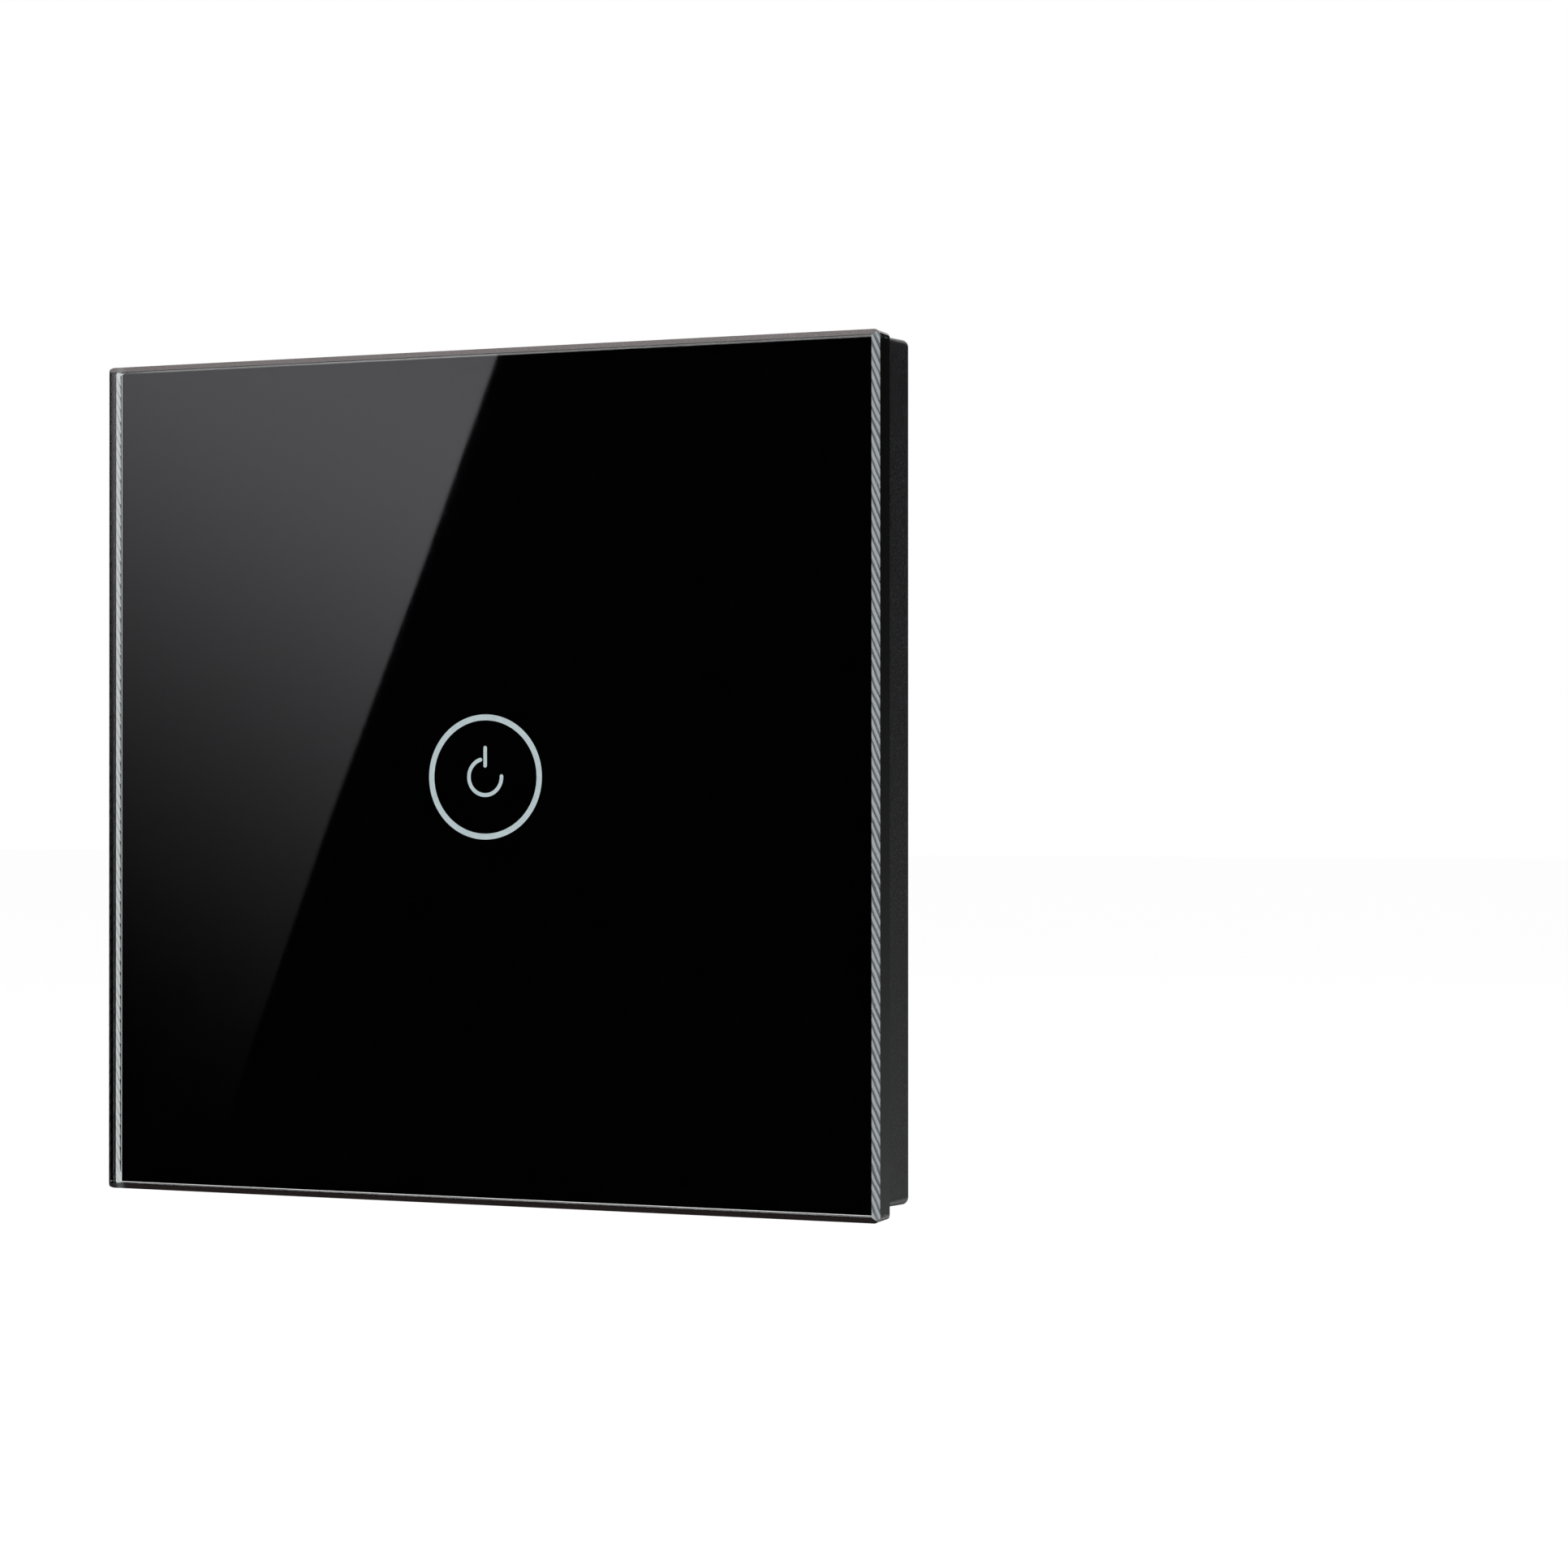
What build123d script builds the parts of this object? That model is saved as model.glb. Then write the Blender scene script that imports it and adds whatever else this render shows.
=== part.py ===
from build123d import *
import math
import os

os.makedirs("parts", exist_ok=True)

# Touch light switch for a round wall box, in millimetres. The wall plane is y = 0, the glass
# faces -Y and +Z is up. The origin is the centre of the mounting plate's back face. Names that
# end in _y are depths: negative in front of the wall, positive inside the wall box.

# Cuts and clearances
overrun = 1.0
slip_gap = 0.1
board_gap = 0.3

# Mounting plate, set by the screws of a round wall box
screw_spacing = 60.0
slot_w = 4.2
slot_l = 7.4
slot_web = 3.4
plate_border = 3.8
plate_t = 1.2
plate_corner_r = 3.0
plate_flat_inset = 1.5
nick_w = 0.5
nick_depth = 0.5
nick_inset = 2.1
nick_pitch = 1.9

# Glass, its back print and the adhesive frame
glass_overhang = 0.05
glass_t = 3.6
glass_chamfer = 0.6
glass_back_chamfer = 0.45
glass_corner_r = 0.6
glass_drop = 0.4
print_t = 0.1
print_margin = 0.05
tape_t = 0.25
tape_inset = 0.5

# Touch mark: a ring round an open arc and a bar
ring_r = 5.88
ring_line = 0.55
icon_r = 1.7
icon_line = 0.37
icon_start_deg = 107
icon_sweep_deg = 255
icon_bar_top = 2.92
icon_bar_bottom = 0.88

# Moulded carrier behind the glass
carrier_gap_x = 0.95
carrier_gap_z = 0.55
carrier_depth = 4.55
carrier_draft_deg = 3.0
carrier_corner_r = 0.5
carrier_wall = 1.5
carrier_flange_t = 1.6
carrier_cover = 3.5
carrier_opening_r = 5.0
carrier_edge_r = 0.2
carrier_reveal = 0.3
pry_w = 8.0
pry_depth = 1.0

# Snap lugs on the carrier and leaf clips on the plate
clip_x = 20.0
clip_w = 4.4
clip_t = 0.3
clip_base_l = 4.8
clip_tongue_h = 1.8
clip_bead_r = 0.27
clip_bead_height = 1.4
lug_w = 5.0
lug_t = 1.6
lug_tip_gap = 0.35
lug_overhang = 0.6
groove_depth = 0.25
groove_gap = 0.06
rivet_r = 0.8
rivet_head_r = 1.3
rivet_head_t = 0.4
rivet_inset = 1.7

# Front shell of the module
shell_seat = 2.1
shell_corner_r = 5.0
shell_wall = 1.3
shell_front_t = 1.1
shell_gap = 0.2
shell_edge = 0.4
boss_r = 2.7
pilot_r = 1.25
pilot_l = 8.0
boss_end_y = 7.4
boss_inset = 5.65
boss_upper_gap = 0.3
boss_lower_gap = 0.2

# Light guide, electrode and the touch board with its parts
diffuser_r = 7.0
diffuser_gap = 0.05
led_ring_r = 5.65
led_count = 8
led_l = 1.6
led_w = 0.8
led_t = 0.6
led_pocket_t = 0.8
led_pocket_w = 2.0
led_pocket_r = 1.4
electrode_outer_r = 11.8
electrode_ring_w = 3.6
electrode_t = 0.3
electrode_tab_w = 1.0
touch_board_t = 1.2
chip_w = 6.0
chip_h = 5.0
chip_t = 1.5
chip_x = -5.0
chip_z = -8.0

# Pin header between the two boards
pin_count = 5
pin_pitch = 2.54
pin_side = 0.64
pin_hole_r = 0.5
pin_end_y = 17.0
header_x = 18.85
header_z = -3.3
header_w = 2.5
header_t = 2.5
socket_h = 8.5
socket_hole = 0.9

# Rear housing
housing_seat = 2.0
housing_flat_seat = 2.1
housing_depth = 23.0
housing_draft_deg = 1.0
housing_wall = 1.5
housing_rear_t = 1.35
housing_edge_r = 0.9
housing_corner_r = 2.0
ledge_z = 13.0
ledge_y = 14.7
ledge_t = 1.4
ledge_slope_deg = 1.0
pocket_wall = 1.2

# Vent slots: four on each flat, then five spaced by angle round each lower curve
vent_w = 1.65
vent_front_y = 15.4
vent_pitch = 3.76
vents_on_flat = 4
vents_on_curve = 5
vent_first_deg = 32.3
vent_step_deg = 9.3
vent_bite = 0.6

# Columns and long screws that draw the housing to the front shell
column_r = 3.2
screw_seat_y = 9.0
screw_bore_r = 2.4
screw_pass_r = 1.4
screw_r = 1.22
screw_end_y = 1.2
screw_head_r = 2.2
screw_head_t = 1.8
cross_w = 0.7
cross_l = 2.6
cross_depth = 0.9

# Power board
power_board_t = 1.6
power_board_rear_gap = 0.15
power_board_edge_gap = 0.6
power_board_cut_x = 9.0
power_board_cut_z = -12.7
board_pad_r = 1.5
board_pad_x = 19.5
board_pad_z = -6.0

# Terminal block: three rising-cage poles
poles = 3
pole_pitch = 7.62
block_w = 25.4
block_front_y = 0.2
block_rear_y = 16.7
block_top_z = 22.0
block_slope_deg = 1.5
block_edge_r = 0.7
block_wall = 0.9
cage_w = 5.0
cage_h = 4.6
cage_wall = 0.8
cage_far_t = 1.0
cage_near_t = 1.8
cage_front_y = 3.2
cage_z = 16.7
wire_space = 3.2
cage_travel = 3.0
wire_hole_r = 1.6
wire_funnel = 0.4
wire_ceiling = 2.2
shoulder_t = 0.8
terminal_screw_r = 1.45
terminal_thread_r = 1.5
terminal_head_r = 2.15
terminal_head_t = 1.8
terminal_head_gap = 0.05
terminal_head_clear = 0.2
terminal_slot_w = 0.7
terminal_slot_depth = 0.8

# Bus bars from the terminals to the power board
bar_w = 3.0
bar_t = 0.8
bar_top_gap = 0.2
bar_fuse_gap = 0.7
bar_pin_w = 1.0
bar_gap = 0.1

# Relay
relay_side_gap = 1.0
relay_z = -3.15
relay_w = 19.0
relay_h = 15.3
relay_depth = 15.0
relay_wall = 0.8
relay_base_t = 2.0
coil_shift = -0.3
coil_flange_r = 4.8
coil_flange_t = 0.7
coil_tube_r = 2.3
coil_r = 4.4
core_r = 1.6
core_gap = 0.05
pole_r = 3.0
pole_t = 0.6
pole_gap = 0.6
yoke_w = 8.0
yoke_t = 1.0
yoke_gap = 0.2
yoke_side_gap = 2.2
yoke_foot_l = 10.6
armature_t = 0.8
armature_w = 7.6
armature_heel = 0.2
armature_front_gap = 0.8
leaf_t = 0.2
leaf_w = 4.0
leaf_l = 11.5
leaf_overlap = 8.5
contact_inset = 0.8
contact_r = 0.8
moving_contact_t = 0.8
contact_gap = 0.7
fixed_contact_t = 0.6
blade_t = 0.5
blade_w = 3.0
blade_gap = 0.6

# Other parts on the power board
film_cap_w = 6.0
film_cap_h = 13.0
film_cap_l = 12.0
film_cap_x = 3.4
film_cap_z = -4.0
film_cap_edge = 0.6
can_r = 4.0
can_l = 12.0
can_x = 12.6
can_z = -5.8
can_edge = 0.5
can_score_w = 0.5
can_score_depth = 0.3
bridge_w = 6.4
bridge_h = 5.0
bridge_t = 3.2
bridge_x = 11.6
bridge_z = 1.5
bridge_edge = 0.4
varistor_r = 4.0
varistor_t = 3.6
varistor_x = 3.5
varistor_y = 15.2
varistor_z = 5.4
varistor_edge = 0.9
lead_side = 0.6
lead_spacing = 5.0
fuse_r = 1.6
fuse_l = 10.0
fuse_x = -8.6
fuse_y = 17.7
fuse_gap = 0.2
fuse_cap_l = 1.6
fuse_tube_r = 1.4
choke_z = -17.0
choke_r = 3.3
choke_l = 8.4
choke_flange_t = 1.2
choke_neck_r = 1.4
choke_winding_r = 2.9
transistor_r = 2.3
transistor_flat = 1.3
transistor_l = 4.5
transistor_x = -6.9
transistor_z = -17.0
transistor_stand = 1.5
transistor_pitch = 1.27

# Sizes across that follow from the sizes above
plate_size = screw_spacing + slot_l + 2 * plate_border
plate_hole_r = screw_spacing / 2 - slot_l / 2 - slot_web
plate_hole_half = plate_hole_r - plate_flat_inset
carrier_w = plate_size + 2 * (carrier_gap_x + carrier_wall)
carrier_h = plate_size + 2 * (carrier_gap_z + carrier_wall)
carrier_opening = plate_size - 2 * carrier_cover
panel_size = carrier_w + 2 * glass_overhang
shell_size = 2 * (plate_hole_r + shell_seat)
housing_r = plate_hole_r + housing_seat
housing_half_w = plate_hole_half + housing_flat_seat
boss_ring_r = housing_r - boss_inset
boss_upper_z = relay_z + relay_h / 2 + boss_upper_gap + column_r
boss_lower_z = relay_z - relay_h / 2 - boss_lower_gap - column_r
boss_upper_x = math.sqrt(boss_ring_r**2 - boss_upper_z**2)
boss_lower_x = math.sqrt(boss_ring_r**2 - boss_lower_z**2)
fuse_z = relay_z + relay_h / 2 + fuse_gap + fuse_r
bar_foot_z = fuse_z + fuse_r + bar_fuse_gap + bar_t / 2

# Depths that follow from the sizes above
carrier_back_y = -carrier_reveal
carrier_front_y = carrier_back_y - carrier_depth
print_back_y = carrier_front_y - tape_t
glass_back_y = print_back_y - print_t
plate_front_y = -plate_t
shell_front_y = print_back_y + shell_gap
touch_board_front_y = shell_front_y + shell_front_t
touch_board_back_y = touch_board_front_y + touch_board_t
housing_inner_y = housing_depth - housing_rear_t
power_board_back_y = housing_inner_y - power_board_rear_gap
power_board_front_y = power_board_back_y - power_board_t
housing_slope = math.tan(math.radians(housing_draft_deg))
boss_places = [
    (boss_upper_x, boss_upper_z),
    (-boss_upper_x, boss_upper_z),
    (boss_lower_x, boss_lower_z),
    (-boss_lower_x, boss_lower_z),
]
pole_xs = [(pole - (poles - 1) / 2) * pole_pitch for pole in range(poles)]


def facing(y):
    """The plane across the switch at depth y, drawn as seen from the front. Extrusion runs forward."""
    return Plane.XZ.offset(-y)


# Glass panel

with BuildPart() as glass_panel:
    with BuildSketch(facing(glass_back_y)):
        with Locations((0, -glass_drop)):
            Rectangle(panel_size, panel_size)
    extrude(amount=glass_t)
    chamfer(glass_panel.faces().sort_by(Axis.Y)[0].edges(), glass_chamfer)
    chamfer(glass_panel.faces().sort_by(Axis.Y)[-1].edges(), glass_back_chamfer)
    with BuildSketch(facing(glass_back_y)):
        with Locations((0, -glass_drop)):
            RectangleRounded(panel_size, panel_size, glass_corner_r)
    extrude(amount=glass_t, mode=Mode.INTERSECT)
glass_panel.part.label = "glass_panel"
export_step(glass_panel.part, "parts/glass_panel.step")

# Touch mark windows in the print

icon_arc = CenterArc((0, 0), icon_r, icon_start_deg, icon_sweep_deg)

with BuildSketch(facing(print_back_y)) as ring_outline:
    with Locations((0, -glass_drop)):
        Circle(ring_r)
        Circle(ring_r - ring_line, mode=Mode.SUBTRACT)

with BuildSketch(facing(print_back_y)) as icon_outline:
    with Locations((0, -glass_drop)):
        SlotArc(icon_arc, icon_line)
    with Locations((0, -glass_drop + (icon_bar_top + icon_bar_bottom) / 2)):
        SlotOverall(icon_bar_top - icon_bar_bottom, icon_line, rotation=90)

with BuildPart() as light_ring:
    extrude(ring_outline.sketch, amount=print_t)
light_ring.part.label = "light_ring"
export_step(light_ring.part, "parts/light_ring.step")

with BuildPart() as power_icon:
    extrude(icon_outline.sketch, amount=print_t)
power_icon.part.label = "power_icon"
export_step(power_icon.part, "parts/power_icon.step")

print_size = panel_size - 2 * glass_back_chamfer - 2 * print_margin

with BuildPart() as black_print:
    with BuildSketch(facing(print_back_y)):
        with Locations((0, -glass_drop)):
            Rectangle(print_size, print_size)
    extrude(amount=print_t)
    extrude(ring_outline.sketch, amount=print_t, mode=Mode.SUBTRACT)
    extrude(icon_outline.sketch, amount=print_t, mode=Mode.SUBTRACT)
black_print.part.label = "black_print"
export_step(black_print.part, "parts/black_print.step")

# Carrier: a tapered skirt and a front flange, with four grooved lugs

carrier_slope = math.tan(math.radians(carrier_draft_deg))
carrier_front_w = carrier_w - 2 * carrier_depth * carrier_slope
carrier_front_h = carrier_h - 2 * carrier_depth * carrier_slope
skirt_inner_w = carrier_front_w - 2 * carrier_wall
skirt_inner_h = carrier_front_h - 2 * carrier_wall
flange_back_y = carrier_front_y + carrier_flange_t
lug_tip_y = plate_front_y - lug_tip_gap
lug_z = carrier_opening / 2 + lug_overhang
clip_bead_y = plate_front_y - clip_bead_height
clip_face_z = lug_z - slip_gap

with BuildPart() as panel_carrier:
    with BuildSketch(facing(carrier_front_y)):
        RectangleRounded(carrier_front_w, carrier_front_h, carrier_corner_r)
    extrude(amount=-carrier_depth, taper=-carrier_draft_deg)
    back_rim = panel_carrier.faces().sort_by(Axis.Y)[-1].edges()
    fillet(back_rim, carrier_edge_r)
    with BuildSketch(facing(flange_back_y)):
        RectangleRounded(skirt_inner_w, skirt_inner_h, carrier_corner_r)
    extrude(amount=flange_back_y - carrier_back_y - overrun, taper=-carrier_draft_deg, mode=Mode.SUBTRACT)
    with BuildSketch(facing(flange_back_y + overrun)):
        RectangleRounded(carrier_opening, carrier_opening, carrier_opening_r)
    extrude(amount=carrier_flange_t + 2 * overrun, mode=Mode.SUBTRACT)
    with BuildSketch(facing(carrier_back_y + overrun)):
        with Locations((0, -carrier_h / 2)):
            Rectangle(pry_w, 2 * carrier_wall + overrun)
    extrude(amount=pry_depth + overrun, mode=Mode.SUBTRACT)
    with BuildSketch(Plane.YZ) as lug_profile:
        with Locations(((flange_back_y + lug_tip_y) / 2, lug_z + lug_t / 2)):
            Rectangle(lug_tip_y - flange_back_y, lug_t)
        with Locations((clip_bead_y, lug_z + groove_depth / 2)):
            Rectangle(2 * (clip_bead_r + groove_gap), groove_depth, mode=Mode.SUBTRACT)
        mirror(about=Plane.XZ)
    for side in (-1, 1):
        start = Plane.YZ.offset(side * clip_x - lug_w / 2)
        extrude(lug_profile.sketch.moved(Location(start.origin)), amount=lug_w)
panel_carrier.part.label = "panel_carrier"
export_step(panel_carrier.part, "parts/panel_carrier.step")

with BuildPart() as panel_tape:
    with BuildSketch(facing(carrier_front_y)):
        RectangleRounded(carrier_front_w - 2 * tape_inset, carrier_front_h - 2 * tape_inset, carrier_corner_r)
        tape_hole = carrier_opening + 2 * tape_inset
        RectangleRounded(tape_hole, tape_hole, carrier_opening_r, mode=Mode.SUBTRACT)
    extrude(amount=tape_t)
panel_tape.part.label = "panel_tape"
export_step(panel_tape.part, "parts/panel_tape.step")

# Mounting plate, leaf clips and their rivets

clip_back_z = clip_face_z - clip_base_l
rivet_z = clip_back_z + rivet_inset
rivet_places = [(sx * clip_x, sz * rivet_z) for sx in (-1, 1) for sz in (-1, 1)]

with BuildSketch(facing(0)) as plate_hole:
    Circle(plate_hole_r)
    Rectangle(2 * plate_hole_half, 2 * plate_hole_r, mode=Mode.INTERSECT)

with BuildPart() as mounting_plate:
    with BuildSketch(facing(0)):
        RectangleRounded(plate_size, plate_size, plate_corner_r)
        with Locations((screw_spacing / 2, 0), (-screw_spacing / 2, 0)):
            SlotOverall(slot_l, slot_w, mode=Mode.SUBTRACT)
        with Locations((0, screw_spacing / 2), (0, -screw_spacing / 2)):
            SlotOverall(slot_l, slot_w, rotation=90, mode=Mode.SUBTRACT)
        with Locations(*rivet_places):
            Circle(rivet_r, mode=Mode.SUBTRACT)
        nick_z = plate_size / 2 - nick_inset
        for z in (nick_z, nick_z - nick_pitch, -nick_z):
            with Locations((plate_size / 2, z), (-plate_size / 2, z)):
                Rectangle(2 * nick_depth, nick_w, mode=Mode.SUBTRACT)
    extrude(amount=plate_t)
    extrude(plate_hole.sketch, amount=plate_t, mode=Mode.SUBTRACT)
mounting_plate.part.label = "mounting_plate"
export_step(mounting_plate.part, "parts/mounting_plate.step")

with BuildPart() as panel_clips:
    with BuildSketch(Plane.YZ) as clip_profile:
        with Locations((plate_front_y - clip_t / 2, clip_face_z - clip_base_l / 2)):
            Rectangle(clip_t, clip_base_l)
        with Locations((plate_front_y - clip_tongue_h / 2, clip_face_z - clip_t / 2)):
            Rectangle(clip_tongue_h, clip_t)
        with Locations((clip_bead_y, clip_face_z)):
            Circle(clip_bead_r)
        mirror(about=Plane.XZ)
    for side in (-1, 1):
        start = Plane.YZ.offset(side * clip_x - clip_w / 2)
        extrude(clip_profile.sketch.moved(Location(start.origin)), amount=clip_w)
    with BuildSketch(facing(plate_front_y + overrun)):
        with Locations(*rivet_places):
            Circle(rivet_r)
    extrude(amount=clip_t + 2 * overrun, mode=Mode.SUBTRACT)
panel_clips.part.label = "panel_clips"
export_step(panel_clips.part, "parts/panel_clips.step")

with BuildPart() as clip_rivets:
    with BuildSketch(facing(0)):
        with Locations(*rivet_places):
            Circle(rivet_r)
    extrude(amount=plate_t + clip_t)
    with BuildSketch(facing(plate_front_y - clip_t)):
        with Locations(*rivet_places):
            Circle(rivet_head_r)
    extrude(amount=rivet_head_t)
clip_rivets.part.label = "clip_rivets"
export_step(clip_rivets.part, "parts/clip_rivets.step")

# Front shell: a square tray with a light aperture, an electrode seat and four long bosses

aperture_r = diffuser_r + slip_gap
electrode_inner_r = electrode_outer_r - electrode_ring_w
tab_r = (electrode_inner_r + electrode_outer_r) / 2

with BuildPart() as front_shell:
    with BuildSketch(facing(plate_front_y)):
        RectangleRounded(shell_size, shell_size, shell_corner_r)
    extrude(amount=plate_front_y - shell_front_y)
    chamfer(front_shell.faces().sort_by(Axis.Y)[0].edges(), shell_edge)
    with BuildSketch(facing(touch_board_front_y)):
        tray = shell_size - 2 * shell_wall
        RectangleRounded(tray, tray, shell_corner_r - shell_wall)
    extrude(amount=touch_board_front_y - plate_front_y - overrun, mode=Mode.SUBTRACT)
    with BuildSketch(facing(boss_end_y)):
        with Locations(*boss_places):
            Circle(boss_r)
    extrude(amount=boss_end_y - touch_board_front_y)
    with BuildSketch(facing(boss_end_y)):
        with Locations(*boss_places):
            Circle(pilot_r)
    extrude(amount=pilot_l, mode=Mode.SUBTRACT)
    with BuildSketch(facing(touch_board_front_y)):
        Circle(aperture_r)
        with Locations((tab_r, 0), (-tab_r, 0)):
            Rectangle(electrode_tab_w + 2 * slip_gap, electrode_t + 2 * slip_gap)
    extrude(amount=shell_front_t, mode=Mode.SUBTRACT)
    with BuildSketch(facing(shell_front_y + electrode_t)):
        Circle(electrode_outer_r + slip_gap)
        Circle(electrode_inner_r - slip_gap, mode=Mode.SUBTRACT)
    extrude(amount=electrode_t, mode=Mode.SUBTRACT)
front_shell.part.label = "front_shell"
export_step(front_shell.part, "parts/front_shell.step")

with BuildPart() as touch_electrode:
    with BuildSketch(facing(shell_front_y + electrode_t)):
        Circle(electrode_outer_r)
        Circle(electrode_inner_r, mode=Mode.SUBTRACT)
    extrude(amount=electrode_t)
    with BuildSketch(facing(touch_board_front_y)):
        with Locations((tab_r, 0), (-tab_r, 0)):
            Rectangle(electrode_tab_w, electrode_t)
    extrude(amount=shell_front_t - electrode_t)
touch_electrode.part.label = "touch_electrode"
export_step(touch_electrode.part, "parts/touch_electrode.step")

with BuildPart() as light_diffuser:
    with BuildSketch(facing(touch_board_front_y)):
        Circle(diffuser_r)
    extrude(amount=touch_board_front_y - print_back_y - diffuser_gap)
    with BuildSketch(facing(touch_board_front_y)):
        Circle(led_ring_r + led_pocket_w / 2)
        Circle(led_ring_r - led_pocket_w / 2, mode=Mode.SUBTRACT)
        Circle(led_pocket_r)
    extrude(amount=led_pocket_t, mode=Mode.SUBTRACT)
light_diffuser.part.label = "light_diffuser"
export_step(light_diffuser.part, "parts/light_diffuser.step")

# Touch board with its lamps, chip and header

with BuildPart() as touch_board:
    with BuildSketch(facing(touch_board_back_y)):
        board_side = shell_size - 2 * shell_wall - 2 * board_gap
        RectangleRounded(board_side, board_side, shell_corner_r - shell_wall)
        with Locations(*boss_places):
            Circle(boss_r + board_gap, mode=Mode.SUBTRACT)
        with Locations((header_x, header_z)):
            with GridLocations(0, pin_pitch, 1, pin_count):
                Circle(pin_hole_r, mode=Mode.SUBTRACT)
    extrude(amount=touch_board_t)
touch_board.part.label = "touch_board"
export_step(touch_board.part, "parts/touch_board.step")

with BuildPart() as indicator_lamps:
    with BuildSketch(facing(touch_board_front_y)):
        with PolarLocations(led_ring_r, led_count, start_angle=90):
            Rectangle(led_w, led_l)
        Rectangle(led_l, led_w)
    extrude(amount=led_t)
indicator_lamps.part.label = "indicator_lamps"
export_step(indicator_lamps.part, "parts/indicator_lamps.step")

with BuildPart() as touch_chip:
    with BuildSketch(facing(touch_board_back_y + chip_t)):
        with Locations((chip_x, chip_z)):
            Rectangle(chip_w, chip_h)
    extrude(amount=chip_t)
touch_chip.part.label = "touch_chip"
export_step(touch_chip.part, "parts/touch_chip.step")

with BuildPart() as link_header:
    with BuildSketch(facing(touch_board_back_y + header_t)):
        with Locations((header_x, header_z)):
            Rectangle(header_w, pin_count * pin_pitch)
    extrude(amount=header_t)
    with BuildSketch(facing(pin_end_y)):
        with Locations((header_x, header_z)):
            with GridLocations(0, pin_pitch, 1, pin_count):
                Rectangle(pin_side, pin_side)
    extrude(amount=pin_end_y - touch_board_front_y)
link_header.part.label = "link_header"
export_step(link_header.part, "parts/link_header.step")

socket_front_y = power_board_front_y - socket_h

with BuildPart() as link_socket:
    with BuildSketch(facing(power_board_front_y)):
        with Locations((header_x, header_z)):
            Rectangle(header_w, pin_count * pin_pitch)
    extrude(amount=socket_h)
    with BuildSketch(facing(pin_end_y + overrun)):
        with Locations((header_x, header_z)):
            with GridLocations(0, pin_pitch, 1, pin_count):
                Rectangle(socket_hole, socket_hole)
    extrude(amount=pin_end_y + overrun - socket_front_y, mode=Mode.SUBTRACT)
link_socket.part.label = "link_socket"
export_step(link_socket.part, "parts/link_socket.step")

# Rear housing: a drafted drum with two flats, stepped at the top for the terminals

inner_r = housing_r - housing_inner_y * housing_slope - housing_wall
inner_half_w = housing_half_w - housing_inner_y * housing_slope - housing_wall
ledge_drop = (housing_depth - ledge_y) * math.tan(math.radians(ledge_slope_deg))
ledge_rear_z = ledge_z - ledge_drop
floor_z = ledge_rear_z - ledge_t
pocket_half = block_w / 2 + slip_gap


def drum(front_r, front_half_w, front_y, rear_y):
    """A cone along Y, cut by a drafted flat on each side. The first two sizes are those at the wall plane."""
    r_at_front = front_r - front_y * housing_slope
    r_at_rear = front_r - rear_y * housing_slope
    half_at_front = front_half_w - front_y * housing_slope
    half_at_rear = front_half_w - rear_y * housing_slope
    with BuildPart() as solid:
        with BuildSketch(Plane.XY):
            with BuildLine():
                Polyline((0, front_y), (r_at_front, front_y), (r_at_rear, rear_y), (0, rear_y), close=True)
            make_face()
        revolve(axis=Axis.Y)
        with BuildSketch(Plane.XY):
            with BuildLine():
                Polyline(
                    (-half_at_front, front_y),
                    (half_at_front, front_y),
                    (half_at_rear, rear_y),
                    (-half_at_rear, rear_y),
                    close=True,
                )
            make_face()
        extrude(amount=r_at_front + overrun, both=True, mode=Mode.INTERSECT)
    return solid.part


outer_drum = drum(housing_r, housing_half_w, 0, housing_depth)
inner_drum = drum(housing_r - housing_wall, housing_half_w - housing_wall, -overrun, housing_inner_y)

with BuildPart() as cavity:
    add(inner_drum)
    with BuildSketch(Plane.YZ):
        step_w = housing_depth + overrun - (ledge_y - ledge_t)
        with Locations((ledge_y - ledge_t + step_w / 2, floor_z + housing_r / 2)):
            Rectangle(step_w, housing_r)
    extrude(amount=housing_r, both=True, mode=Mode.SUBTRACT)
    with BuildSketch(Plane.YZ):
        with Locations((housing_depth / 2, floor_z + housing_r / 2)):
            Rectangle(housing_depth + 2 * overrun, housing_r)
    extrude(amount=pocket_half + pocket_wall, both=True, mode=Mode.SUBTRACT)

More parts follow.
